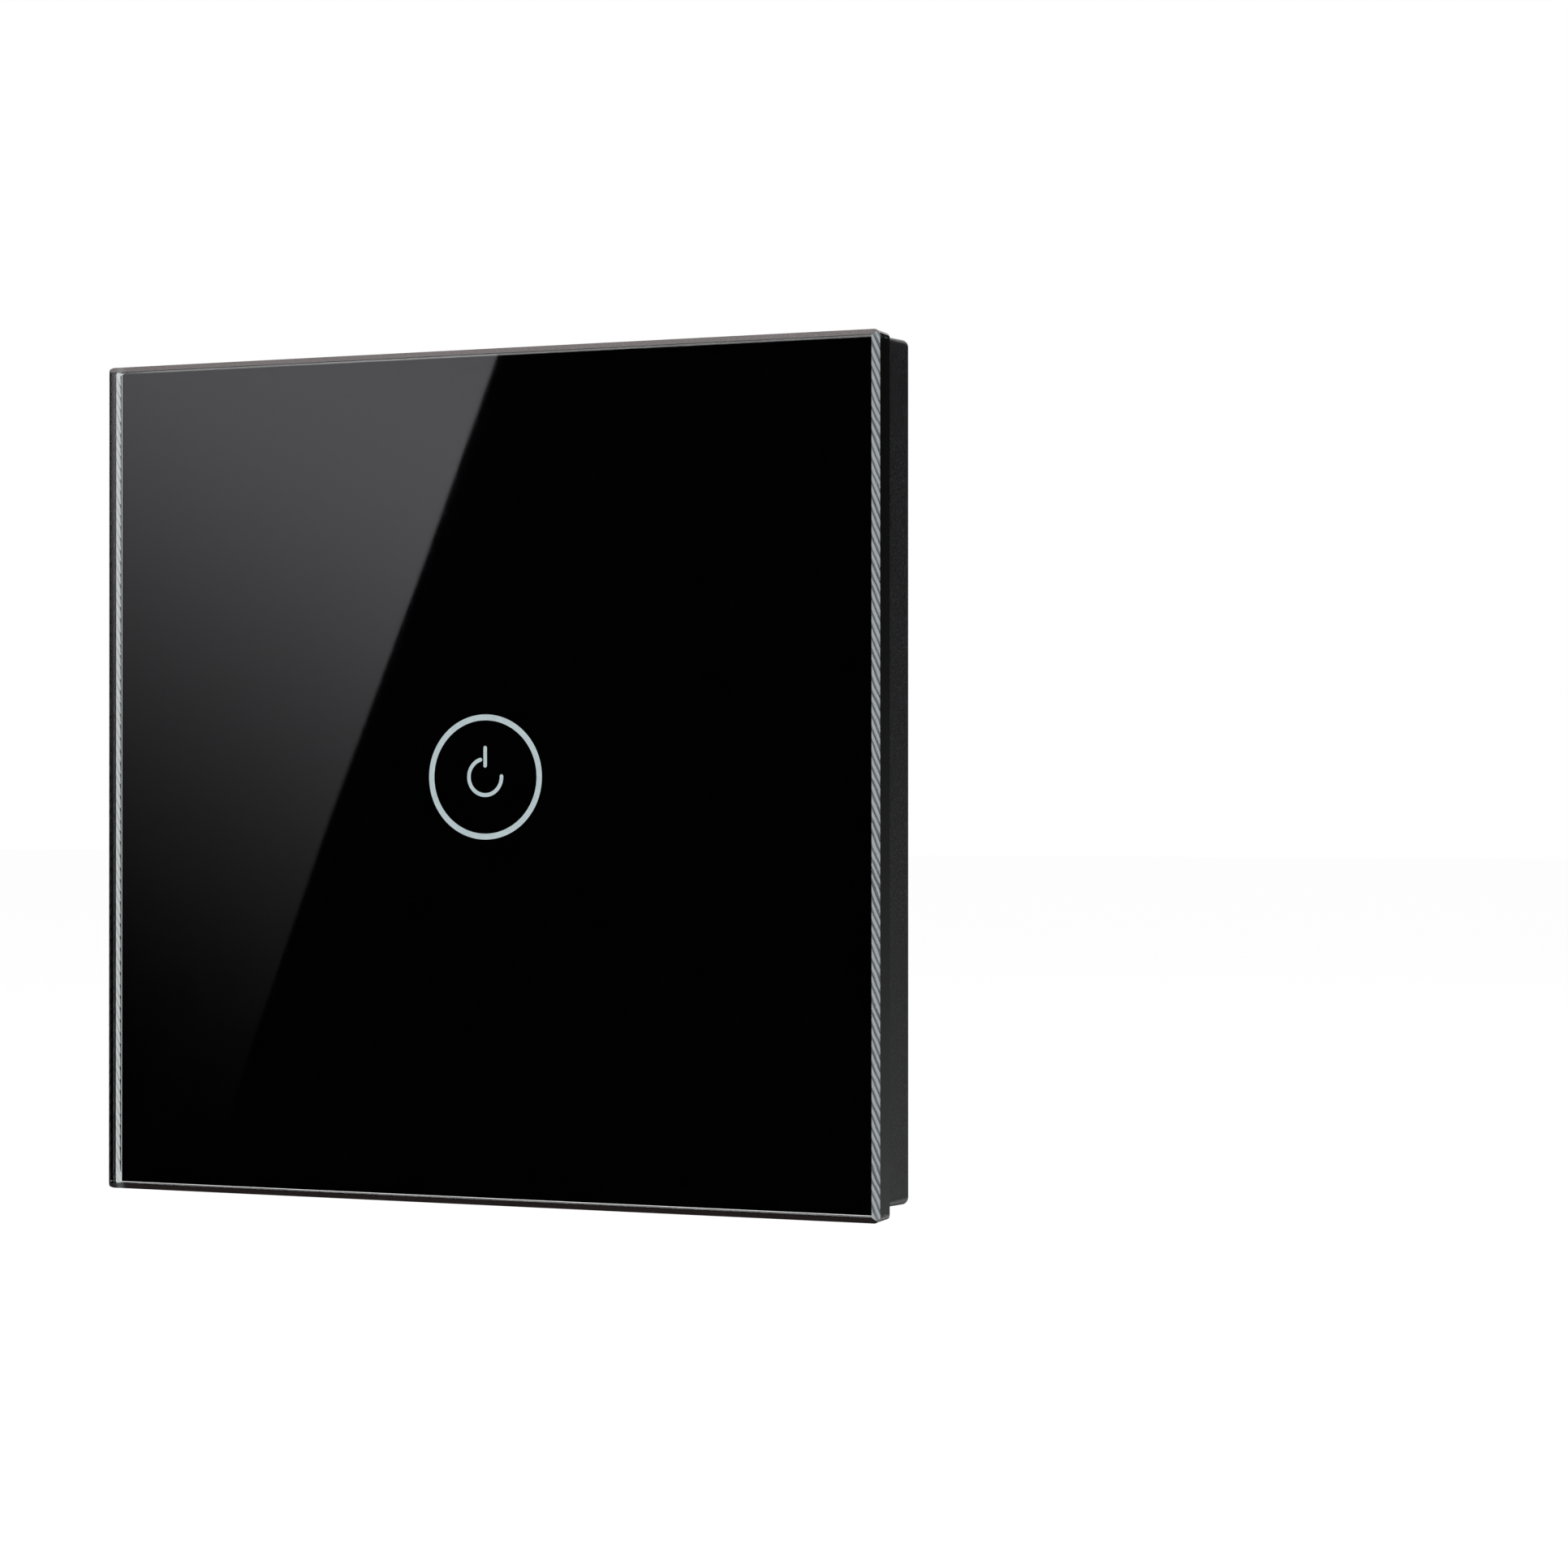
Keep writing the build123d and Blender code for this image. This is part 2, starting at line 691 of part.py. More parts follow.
with BuildPart() as rear_housing:
    add(outer_drum)
    end_edges = rear_housing.faces().filter_by(Axis.Y).edges()
    fillet(rear_housing.edges() - end_edges, housing_corner_r)
    fillet(rear_housing.faces().sort_by(Axis.Y)[-1].edges(), housing_edge_r)
    with BuildSketch(Plane.YZ):
        with BuildLine():
            edge_start_y = housing_depth - housing_edge_r
            edge_end_z = ledge_rear_z - housing_edge_r
            Line((ledge_y, ledge_z), (edge_start_y, ledge_rear_z))
            RadiusArc((edge_start_y, ledge_rear_z), (housing_depth, edge_end_z), housing_edge_r)
            Polyline(
                (housing_depth, edge_end_z),
                (housing_depth + overrun, edge_end_z),
                (housing_depth + overrun, housing_r + overrun),
                (ledge_y, housing_r + overrun),
                (ledge_y, ledge_z),
            )
        make_face()
    extrude(amount=housing_r, both=True, mode=Mode.SUBTRACT)
    add(cavity.part, mode=Mode.SUBTRACT)
    with BuildSketch(facing(housing_inner_y)):
        with Locations(*boss_places):
            Circle(column_r)
    extrude(amount=housing_inner_y - boss_end_y)
    with BuildSketch(facing(housing_inner_y)):
        with Locations((board_pad_x, board_pad_z), (-board_pad_x, board_pad_z), (0, board_pad_z)):
            Circle(board_pad_r)
    extrude(amount=power_board_rear_gap)
    with BuildSketch(facing(ledge_y)):
        with Locations((0, ledge_z + housing_r / 2)):
            Rectangle(2 * pocket_half, housing_r)
    extrude(amount=ledge_y + overrun, mode=Mode.SUBTRACT)
    with BuildSketch(facing(housing_depth)):
        with Locations(*boss_places):
            Circle(screw_bore_r)
    extrude(amount=housing_depth - screw_seat_y, mode=Mode.SUBTRACT)
    with BuildSketch(facing(screw_seat_y)):
        with Locations(*boss_places):
            Circle(screw_pass_r)
    extrude(amount=screw_seat_y - boss_end_y, mode=Mode.SUBTRACT)
    with BuildSketch(Plane.XY.offset(floor_z - overrun)):
        for x in pole_xs:
            with Locations((x, cage_front_y + cage_far_t + wire_space + bar_t / 2)):
                Rectangle(bar_w + 2 * bar_gap, bar_t + 2 * bar_gap)
    extrude(amount=ledge_z - floor_z + 2 * overrun, mode=Mode.SUBTRACT)
    vent_l = housing_depth + overrun - vent_front_y
    for side in (-1, 1):
        flat_plane = Plane(
            origin=(side * (inner_half_w - vent_bite), vent_front_y + vent_l, 0),
            x_dir=(0, 1, 0),
            z_dir=(side, 0, 0),
        )
        with BuildSketch(flat_plane):
            with GridLocations(0, vent_pitch, 1, vents_on_flat):
                SlotOverall(2 * vent_l, vent_w)
        extrude(amount=housing_wall + vent_bite + overrun, mode=Mode.SUBTRACT)
        for vent in range(vents_on_curve):
            angle = math.radians(vent_first_deg + vent * vent_step_deg)
            outward = Vector(side * math.cos(angle), 0, -math.sin(angle))
            curve_plane = Plane(
                origin=outward * (inner_r - vent_bite) + Vector(0, vent_front_y + vent_l, 0),
                x_dir=(0, 1, 0),
                z_dir=outward,
            )
            with BuildSketch(curve_plane):
                SlotOverall(2 * vent_l, vent_w)
            extrude(amount=housing_wall + vent_bite + overrun, mode=Mode.SUBTRACT)
rear_housing.part.label = "rear_housing"
export_step(rear_housing.part, "parts/rear_housing.step")

with BuildPart() as housing_screws:
    with BuildSketch(facing(screw_seat_y)):
        with Locations(*boss_places):
            Circle(screw_r)
    extrude(amount=screw_seat_y - screw_end_y)
    with BuildSketch(facing(screw_seat_y + screw_head_t)):
        with Locations(*boss_places):
            Circle(screw_head_r)
    extrude(amount=screw_head_t)
    with BuildSketch(facing(screw_seat_y + screw_head_t)):
        with Locations(*boss_places):
            Rectangle(cross_l, cross_w)
            Rectangle(cross_w, cross_l)
    extrude(amount=cross_depth, mode=Mode.SUBTRACT)
housing_screws.part.label = "housing_screws"
export_step(housing_screws.part, "parts/housing_screws.step")

# Power board

power_board_r = inner_r - power_board_edge_gap
power_board_half = inner_half_w - power_board_edge_gap
power_board_top_z = floor_z - board_gap
bar_pin_places = [(x, bar_foot_z) for x in pole_xs]

with BuildPart() as power_board:
    with BuildSketch(facing(power_board_back_y)):
        Circle(power_board_r)
        Rectangle(2 * power_board_half, 2 * power_board_r, mode=Mode.INTERSECT)
        with Locations((0, power_board_top_z + power_board_r / 2)):
            Rectangle(2 * power_board_r, power_board_r, mode=Mode.SUBTRACT)
        corner_w = power_board_r - power_board_cut_x
        corner_x = power_board_cut_x + corner_w / 2
        with Locations(
            (corner_x, power_board_cut_z - power_board_r / 2),
            (-corner_x, power_board_cut_z - power_board_r / 2),
        ):
            Rectangle(corner_w, power_board_r, mode=Mode.SUBTRACT)
        with Locations(*boss_places):
            Circle(column_r + board_gap, mode=Mode.SUBTRACT)
        ear_w = power_board_r - boss_upper_x
        ear_bottom_z = boss_upper_z - column_r - board_gap
        ear_h = power_board_top_z - ear_bottom_z
        for side in (-1, 1):
            with Locations((side * (boss_upper_x + ear_w / 2), ear_bottom_z + ear_h / 2)):
                Rectangle(ear_w, ear_h, mode=Mode.SUBTRACT)
        with Locations(*bar_pin_places):
            Rectangle(bar_pin_w + 2 * bar_gap, bar_t + 2 * bar_gap, mode=Mode.SUBTRACT)
    extrude(amount=power_board_t)
power_board.part.label = "power_board"
export_step(power_board.part, "parts/power_board.step")

# Terminal block with its bus bars, cages and screws

tongue_front_y = cage_front_y + cage_far_t + wire_space
tongue_back_y = tongue_front_y + bar_t
cage_inner_y = tongue_back_y + slip_gap
cage_back_y = cage_inner_y + cage_near_t
wire_y = cage_front_y + cage_far_t + wire_space / 2
shoulder_y = cage_back_y + cage_travel + slip_gap
head_seat_y = shoulder_y + shoulder_t
block_ceiling_z = block_top_z - wire_ceiling
block_rear_z = block_top_z - (block_rear_y - block_front_y) * math.tan(math.radians(block_slope_deg))
recess_back_y = cage_front_y - block_wall

with BuildPart() as terminal_block:
    with BuildSketch(Plane.YZ):
        with BuildLine():
            Polyline(
                (block_front_y, ledge_z),
                (block_rear_y, ledge_z),
                (block_rear_y, block_rear_z),
                (block_front_y, block_top_z),
                close=True,
            )
        make_face()
    extrude(amount=block_w / 2, both=True)
    top_rear = terminal_block.faces().sort_by(Axis.Y)[-1].edges().sort_by(Axis.Z)[-1]
    fillet(top_rear, block_edge_r)
    for x in pole_xs:
        with BuildSketch(Plane.XY.offset(ledge_z - overrun)):
            well_l = shoulder_y - cage_front_y + slip_gap
            with Locations((x, shoulder_y - well_l / 2)):
                Rectangle(cage_w + 2 * slip_gap, well_l)
        extrude(amount=block_ceiling_z - ledge_z + overrun, mode=Mode.SUBTRACT)
        with BuildSketch(Plane.XY.offset(block_ceiling_z - overrun)):
            with Locations((x, wire_y)):
                Circle(wire_hole_r)
        extrude(amount=wire_ceiling + 2 * overrun, mode=Mode.SUBTRACT)
        with BuildSketch(facing(block_rear_y)):
            with Locations((x, cage_z)):
                Circle(terminal_head_r + terminal_head_clear)
        extrude(amount=block_rear_y - head_seat_y, mode=Mode.SUBTRACT)
        with BuildSketch(facing(head_seat_y)):
            with Locations((x, cage_z)):
                Circle(terminal_screw_r + slip_gap)
        extrude(amount=shoulder_t + overrun, mode=Mode.SUBTRACT)
        with BuildSketch(facing(recess_back_y)):
            with Locations((x, (ledge_z + block_ceiling_z) / 2)):
                Rectangle(cage_w, block_ceiling_z - ledge_z - 2 * block_wall)
        extrude(amount=recess_back_y - block_front_y + overrun, mode=Mode.SUBTRACT)
    mouths = terminal_block.faces().sort_by(Axis.Z)[-1].inner_wires().edges()
    chamfer(mouths, wire_funnel)
terminal_block.part.label = "terminal_block"
export_step(terminal_block.part, "parts/terminal_block.step")

with BuildPart() as bus_bars:
    with BuildSketch(Plane.YZ) as bar_profile:
        riser_bottom_z = bar_foot_z - bar_t / 2
        riser_l = block_ceiling_z - bar_top_gap - riser_bottom_z
        with Locations(((tongue_front_y + tongue_back_y) / 2, riser_bottom_z + riser_l / 2)):
            Rectangle(bar_t, riser_l)
        with Locations(((tongue_front_y + power_board_front_y) / 2, bar_foot_z)):
            Rectangle(power_board_front_y - tongue_front_y, bar_t)
    for x in pole_xs:
        extrude(bar_profile.sketch.moved(Location((x - bar_w / 2, 0, 0))), amount=bar_w)
    with BuildSketch(facing(power_board_back_y)):
        with Locations(*bar_pin_places):
            Rectangle(bar_pin_w, bar_t)
    extrude(amount=power_board_t)
bus_bars.part.label = "bus_bars"
export_step(bus_bars.part, "parts/bus_bars.step")

for number, x in enumerate(pole_xs, start=1):
    with BuildPart() as terminal_cage:
        with BuildSketch(Plane.XY.offset(cage_z - cage_h / 2)):
            with Locations((x, (cage_front_y + cage_back_y) / 2)):
                Rectangle(cage_w, cage_back_y - cage_front_y)
            with Locations((x, (cage_front_y + cage_far_t + cage_inner_y) / 2)):
                loop_l = cage_inner_y - cage_front_y - cage_far_t
                Rectangle(cage_w - 2 * cage_wall, loop_l, mode=Mode.SUBTRACT)
        extrude(amount=cage_h)
        with BuildSketch(facing(cage_back_y)):
            with Locations((x, cage_z)):
                Circle(terminal_thread_r)
        extrude(amount=cage_near_t, mode=Mode.SUBTRACT)
    terminal_cage.part.label = f"terminal_cage_{number}"
    export_step(terminal_cage.part, f"parts/terminal_cage_{number}.step")

    with BuildPart() as terminal_screw:
        head_front_y = head_seat_y + terminal_head_gap
        with BuildSketch(facing(head_front_y)):
            with Locations((x, cage_z)):
                Circle(terminal_screw_r)
        extrude(amount=head_front_y - tongue_back_y - 2 * slip_gap)
        with BuildSketch(facing(head_front_y + terminal_head_t)):
            with Locations((x, cage_z)):
                Circle(terminal_head_r)
        extrude(amount=terminal_head_t)
        with BuildSketch(facing(head_front_y + terminal_head_t)):
            with Locations((x, cage_z)):
                Rectangle(2 * terminal_head_r, terminal_slot_w)
        extrude(amount=terminal_slot_depth, mode=Mode.SUBTRACT)
    terminal_screw.part.label = f"terminal_screw_{number}"
    export_step(terminal_screw.part, f"parts/terminal_screw_{number}.step")

# Relay: case, base, coil, yoke, armature and contacts

relay_x = relay_w / 2 + relay_side_gap - inner_half_w
coil_x = relay_x + coil_shift
yoke_x = relay_x - relay_w / 2 + relay_wall + yoke_side_gap
yoke_foot_end_x = yoke_x + yoke_foot_l
armature_end_x = yoke_foot_end_x
leaf_start_x = armature_end_x - leaf_overlap
leaf_end_x = leaf_start_x + leaf_l
contact_x = leaf_end_x - contact_inset
blade_x = leaf_end_x + blade_gap
relay_front_y = power_board_front_y - relay_depth
relay_base_y = power_board_front_y - relay_base_t
armature_front_y = relay_front_y + relay_wall + armature_front_gap
armature_back_y = armature_front_y + armature_t
pole_front_y = armature_back_y + pole_gap
pole_back_y = pole_front_y + pole_t
yoke_foot_y = relay_base_y - yoke_t
bobbin_front_y = pole_back_y + core_gap

with BuildPart() as relay_case:
    with BuildSketch(facing(power_board_front_y)):
        with Locations((relay_x, relay_z)):
            Rectangle(relay_w, relay_h)
    extrude(amount=relay_depth)
    fillet(relay_case.edges().filter_by(Axis.Y), relay_wall)
    with BuildSketch(facing(power_board_front_y)):
        with Locations((relay_x, relay_z)):
            Rectangle(relay_w - 2 * relay_wall, relay_h - 2 * relay_wall)
    extrude(amount=relay_depth - relay_wall, mode=Mode.SUBTRACT)
relay_case.part.label = "relay_case"
export_step(relay_case.part, "parts/relay_case.step")

with BuildPart() as relay_base:
    with BuildSketch(facing(power_board_front_y)):
        with Locations((relay_x, relay_z)):
            inset = 2 * (relay_wall + slip_gap)
            Rectangle(relay_w - inset, relay_h - inset)
    extrude(amount=relay_base_t)
relay_base.part.label = "relay_base"
export_step(relay_base.part, "parts/relay_base.step")

with BuildPart() as relay_core:
    with BuildSketch(facing(yoke_foot_y)):
        with Locations((coil_x, relay_z)):
            Circle(core_r)
    extrude(amount=yoke_foot_y - pole_back_y)
    with BuildSketch(facing(pole_back_y)):
        with Locations((coil_x, relay_z)):
            Circle(pole_r)
    extrude(amount=pole_t)
relay_core.part.label = "relay_core"
export_step(relay_core.part, "parts/relay_core.step")

with BuildPart() as relay_bobbin:
    with BuildSketch(facing(yoke_foot_y)):
        with Locations((coil_x, relay_z)):
            Circle(coil_tube_r)
    extrude(amount=yoke_foot_y - bobbin_front_y)
    for flange_y in (yoke_foot_y, bobbin_front_y + coil_flange_t):
        with BuildSketch(facing(flange_y)):
            with Locations((coil_x, relay_z)):
                Circle(coil_flange_r)
        extrude(amount=coil_flange_t)
    with BuildSketch(facing(yoke_foot_y)):
        with Locations((coil_x, relay_z)):
            Circle(core_r + core_gap)
    extrude(amount=yoke_foot_y - bobbin_front_y, mode=Mode.SUBTRACT)
relay_bobbin.part.label = "relay_bobbin"
export_step(relay_bobbin.part, "parts/relay_bobbin.step")

with BuildPart() as relay_winding:
    with BuildSketch(facing(yoke_foot_y - coil_flange_t)):
        with Locations((coil_x, relay_z)):
            Circle(coil_r)
            Circle(coil_tube_r, mode=Mode.SUBTRACT)
    extrude(amount=yoke_foot_y - bobbin_front_y - 2 * coil_flange_t)
relay_winding.part.label = "relay_winding"
export_step(relay_winding.part, "parts/relay_winding.step")

with BuildPart() as relay_yoke:
    with BuildSketch(Plane.XY.offset(relay_z - yoke_w / 2)):
        with Locations(((yoke_x + yoke_foot_end_x) / 2, yoke_foot_y + yoke_t / 2)):
            Rectangle(yoke_foot_end_x - yoke_x, yoke_t)
        yoke_front_y = armature_back_y + yoke_gap
        with Locations((yoke_x + yoke_t / 2, (yoke_front_y + yoke_foot_y) / 2)):
            Rectangle(yoke_t, yoke_foot_y - yoke_front_y)
    extrude(amount=yoke_w)
relay_yoke.part.label = "relay_yoke"
export_step(relay_yoke.part, "parts/relay_yoke.step")

with BuildPart() as relay_armature:
    with BuildSketch(facing(armature_back_y)):
        armature_start_x = yoke_x - armature_heel
        with Locations(((armature_start_x + armature_end_x) / 2, relay_z)):
            Rectangle(armature_end_x - armature_start_x, armature_w)
    extrude(amount=armature_t)
relay_armature.part.label = "relay_armature"
export_step(relay_armature.part, "parts/relay_armature.step")

with BuildPart() as relay_moving_contact:
    with BuildSketch(facing(armature_front_y)):
        with Locations(((leaf_start_x + leaf_end_x) / 2, relay_z)):
            Rectangle(leaf_end_x - leaf_start_x, leaf_w)
    extrude(amount=leaf_t)
    with BuildSketch(facing(armature_front_y + moving_contact_t)):
        with Locations((contact_x, relay_z)):
            Circle(contact_r)
    extrude(amount=moving_contact_t)
relay_moving_contact.part.label = "relay_moving_contact"
export_step(relay_moving_contact.part, "parts/relay_moving_contact.step")

fixed_front_y = armature_front_y + moving_contact_t + contact_gap
blade_front_y = fixed_front_y + fixed_contact_t

with BuildPart() as relay_fixed_contact:
    with BuildSketch(facing(blade_front_y)):
        with Locations((contact_x, relay_z)):
            Circle(contact_r)
    extrude(amount=fixed_contact_t)
    with BuildSketch(Plane.XY.offset(relay_z - blade_w / 2)):
        arm_l = blade_x + blade_t - contact_x + contact_r
        with Locations((blade_x + blade_t - arm_l / 2, blade_front_y + blade_t / 2)):
            Rectangle(arm_l, blade_t)
        with Locations((blade_x + blade_t / 2, (blade_front_y + relay_base_y) / 2)):
            Rectangle(blade_t, relay_base_y - blade_front_y)
    extrude(amount=blade_w)
relay_fixed_contact.part.label = "relay_fixed_contact"
export_step(relay_fixed_contact.part, "parts/relay_fixed_contact.step")

# Other parts on the power board

with BuildPart() as film_capacitor:
    with BuildSketch(facing(power_board_front_y)):
        with Locations((film_cap_x, film_cap_z)):
            Rectangle(film_cap_w, film_cap_h)
    extrude(amount=film_cap_l)
    chamfer(film_capacitor.edges().filter_by(Axis.Y), film_cap_edge)
    chamfer(film_capacitor.faces().sort_by(Axis.Y)[0].edges(), film_cap_edge)
film_capacitor.part.label = "film_capacitor"
export_step(film_capacitor.part, "parts/film_capacitor.step")

with BuildPart() as reservoir_capacitor:
    with BuildSketch(facing(power_board_front_y)):
        with Locations((can_x, can_z)):
            Circle(can_r)
    extrude(amount=can_l)
    chamfer(reservoir_capacitor.faces().sort_by(Axis.Y)[0].edges(), can_edge)
    with BuildSketch(facing(power_board_front_y - can_l + can_score_depth)):
        with Locations((can_x, can_z)):
            Rectangle(can_r, can_score_w)
            Rectangle(can_score_w, can_r)
    extrude(amount=can_score_depth, mode=Mode.SUBTRACT)
reservoir_capacitor.part.label = "reservoir_capacitor"
export_step(reservoir_capacitor.part, "parts/reservoir_capacitor.step")

with BuildPart() as bridge_rectifier:
    with BuildSketch(facing(power_board_front_y)):
        with Locations((bridge_x, bridge_z)):
            Rectangle(bridge_w, bridge_h)
    extrude(amount=bridge_t)
    chamfer(bridge_rectifier.faces().sort_by(Axis.Y)[0].edges(), bridge_edge)
bridge_rectifier.part.label = "bridge_rectifier"
export_step(bridge_rectifier.part, "parts/bridge_rectifier.step")

with BuildPart() as varistor:
    with BuildSketch(Plane.XY.offset(varistor_z - varistor_t / 2)):
        with Locations((varistor_x, varistor_y)):
            Circle(varistor_r)
    extrude(amount=varistor_t)
    chamfer(varistor.faces().filter_by(Axis.Z).edges(), varistor_edge)
    with BuildSketch(facing(power_board_front_y)):
        with Locations((varistor_x, varistor_z)):
            with GridLocations(lead_spacing, 0, 2, 1):
                Rectangle(lead_side, lead_side)
    extrude(amount=power_board_front_y - varistor_y)
varistor.part.label = "varistor"
export_step(varistor.part, "parts/varistor.step")

with BuildPart() as board_fuse:
    with BuildSketch(Plane.YZ.offset(fuse_x - fuse_l / 2)):
        with Locations((fuse_y, fuse_z)):
            Circle(fuse_tube_r)
    extrude(amount=fuse_l)
    for cap_x in (fuse_x - fuse_l / 2, fuse_x + fuse_l / 2 - fuse_cap_l):
        with BuildSketch(Plane.YZ.offset(cap_x)):
            with Locations((fuse_y, fuse_z)):
                Circle(fuse_r)
        extrude(amount=fuse_cap_l)
    with BuildSketch(facing(power_board_front_y)):
        with Locations((fuse_x, fuse_z)):
            with GridLocations(fuse_l - fuse_cap_l, 0, 2, 1):
                Rectangle(lead_side, lead_side)
    extrude(amount=power_board_front_y - fuse_y)
board_fuse.part.label = "board_fuse"
export_step(board_fuse.part, "parts/board_fuse.step")

with BuildPart() as choke_core:
    for flange_y in (power_board_front_y, power_board_front_y - choke_l + choke_flange_t):
        with BuildSketch(facing(flange_y)):
            with Locations((0, choke_z)):
                Circle(choke_r)
        extrude(amount=choke_flange_t)
    with BuildSketch(facing(power_board_front_y)):
        with Locations((0, choke_z)):
            Circle(choke_neck_r)
    extrude(amount=choke_l)
choke_core.part.label = "choke_core"
export_step(choke_core.part, "parts/choke_core.step")

with BuildPart() as choke_winding:
    with BuildSketch(facing(power_board_front_y - choke_flange_t)):
        with Locations((0, choke_z)):
            Circle(choke_winding_r)
            Circle(choke_neck_r, mode=Mode.SUBTRACT)
    extrude(amount=choke_l - 2 * choke_flange_t)
choke_winding.part.label = "choke_winding"
export_step(choke_winding.part, "parts/choke_winding.step")

with BuildPart() as driver_transistor:
    with BuildSketch(facing(power_board_front_y - transistor_stand)):
        with Locations((transistor_x, transistor_z)):
            Circle(transistor_r)
        flat_h = transistor_r - transistor_flat
        with Locations((transistor_x, transistor_z - transistor_flat - flat_h / 2)):
            Rectangle(2 * transistor_r, flat_h, mode=Mode.SUBTRACT)
    extrude(amount=transistor_l)
    with BuildSketch(facing(power_board_front_y)):
        with Locations((transistor_x, transistor_z)):
            with GridLocations(transistor_pitch, 0, 3, 1):
                Rectangle(lead_side / 2, lead_side / 2)
    extrude(amount=transistor_stand)
driver_transistor.part.label = "driver_transistor"
export_step(driver_transistor.part, "parts/driver_transistor.step")
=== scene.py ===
import math

import bpy
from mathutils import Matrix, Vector


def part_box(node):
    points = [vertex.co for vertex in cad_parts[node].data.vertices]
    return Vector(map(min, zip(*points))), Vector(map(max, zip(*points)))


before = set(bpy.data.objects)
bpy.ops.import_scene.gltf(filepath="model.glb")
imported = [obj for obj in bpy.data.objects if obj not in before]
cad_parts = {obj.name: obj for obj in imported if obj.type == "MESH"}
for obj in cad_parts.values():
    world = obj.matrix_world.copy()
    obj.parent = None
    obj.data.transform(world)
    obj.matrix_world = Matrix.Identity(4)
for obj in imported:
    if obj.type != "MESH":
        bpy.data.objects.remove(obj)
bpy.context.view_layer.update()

MM = 0.001
TURN = 2 * math.pi
WHITE = (1.0, 1.0, 1.0)
BLACK = (0.0, 0.0, 0.0)

# The view: the switch stands at the left of the picture, and its right side shows a little.
PHOTO_SIDE = 1932
CAMERA_PLACE = Vector((146.346, -303.106, -2.163)) * MM
CAMERA_AIM = Vector((30.695, -8.0, -1.101)) * MM
CAMERA_LENS = 80.55
CAMERA_SENSOR = 36.0

# The pale reflection in the glass, in pixels of the picture: its slanted edge, its left column,
# and the rows where it is full and where it has faded.
REFLECTION_EDGE = ((612, 440), (520, 700), (409, 1000), (258, 1440))
REFLECTION_LEFT = 170
REFLECTION_FULL_ROW = 480
REFLECTION_NONE_ROW = 1450

# It grows to the right too, by this share of its height over this width of this row.
REFLECTION_TILT = 0.2
REFLECTION_TILT_WIDTH = 340
REFLECTION_TILT_ROW = 700

# How its glow grows with height, and how it levels off near the top.
REFLECTION_PEAK = 1.9
REFLECTION_FADE = 2.86
REFLECTION_LIMIT = 0.22
REFLECTION_LIMIT_FADE = 7.0
REFLECTION_TOP = 1.4
REFLECTION_TINT = (0.985, 0.985, 1.03)

# The soft box that gives it: its upright plane, and how far it reaches past the picture, in metres.
SOFT_BOX_Y = -1.5
SOFT_BOX_REACH = 0.9

# Black cloths that only gloss sees, each between two places on the floor, in metres.
CLOTH_LOW = -1.0
CLOTH_HIGH = 1.1
LEFT_CLOTH_HIGH = 2.4
FRONT_CLOTH = ((-4.0, -1.53), (1.3, -1.53))
LEFT_CLOTH = ((-2.1, -1.5), (-1.9, 2.6))
RIGHT_CLOTH = ((1.37, -0.4), (1.37, 0.75))
CORNER_CLOTH = ((1.3, -1.53), (1.37, -0.95))

# The back cloth glows faintly, and more toward its foot.
BACK_CLOTH = ((1.35, 0.75), (0.25, 1.6))
BACK_GLOW_TOP = 0.3
BACK_GLOW_REACH = 0.6
BACK_GLOW_DEEPEST = 1.2
BACK_GLOW_FADE = 3.0
BACK_GLOW_LEAST = 0.02
BACK_GLOW_MOST = 0.36
BACK_GLOW_TINT = (0.98, 1.0, 1.0)

# The low cloth glows faintly and warm, which shows in the glass and its slants.
LOW_GLOW = 0.07
LOW_GLOW_TINT = (1.0, 0.86, 0.8)

# A bright card at the right, which the ground slant of the glass mirrors.
SIDE_CARD = ((1.37, -0.95), (1.37, -0.4))
SIDE_CARD_GLOW = 2.3
SIDE_CARD_TINT = (0.97, 0.99, 1.0)

# Studio light. The air and the floor look brighter than they light.
SEEN_RAYS = ("Is Camera Ray", "Is Glossy Ray", "Is Transmission Ray")
AMBIENT = 0.55
LAMPS = {
    "key_lamp": {"place": (0.75, -0.6, 1.0), "side": 0.7, "watts": 7.0, "tint": (1.0, 0.98, 0.96)},
    "fill_lamp": {"place": (-0.9, -0.8, 0.5), "side": 0.9, "watts": 3.5, "tint": (0.96, 0.98, 1.0)},
    "back_lamp": {"place": (0.5, 1.1, 0.8), "side": 0.9, "watts": 5.0, "tint": WHITE},
}

# The paper floor, in metres.
FLOOR_Z = -0.115
FLOOR_REACH = 6.0
FLOOR_PALE = (0.9, 0.9, 0.9)
FLOOR_DARK = (0.8865, 0.8865, 0.8865)
FLOOR_GLOW_SHARE = 0.78
FLOOR_GLOW = 1.12

# How far each print reaches into the glass's surface, in millimetres.
PRESSED = {"black_print": 0.01, "light_ring": 0.02, "power_icon": 0.02}

# Faces of the glass by the way they look: flat edges less than EDGE_LEAN to the front or back,
# broad faces more than BROAD_LEAN, and upright slants more than SIDE_LEAN to a side.
EDGE_LEAN = 0.35
BROAD_LEAN = 0.95
SIDE_LEAN = 0.35

# Grinding marks on the upright slants: the millimetres between them, how far they climb for each
# millimetre of depth, how they sway, and the streaks along them.
MARK_PITCH = 1.15
MARK_CLIMB = 2.0
MARK_SWAY = 5.0
STREAKS_PER_MM = 0.9
STREAK_DRIFT = 0.08

# What lines, streaks and grit give to the marks, and the sums at which wear starts and is full.
LINE_SHARE = 0.5
STREAK_SHARE = 0.44
GRIT_SHARE = 0.06
WEAR_STARTS = 0.18
WEAR_FULL = 0.6

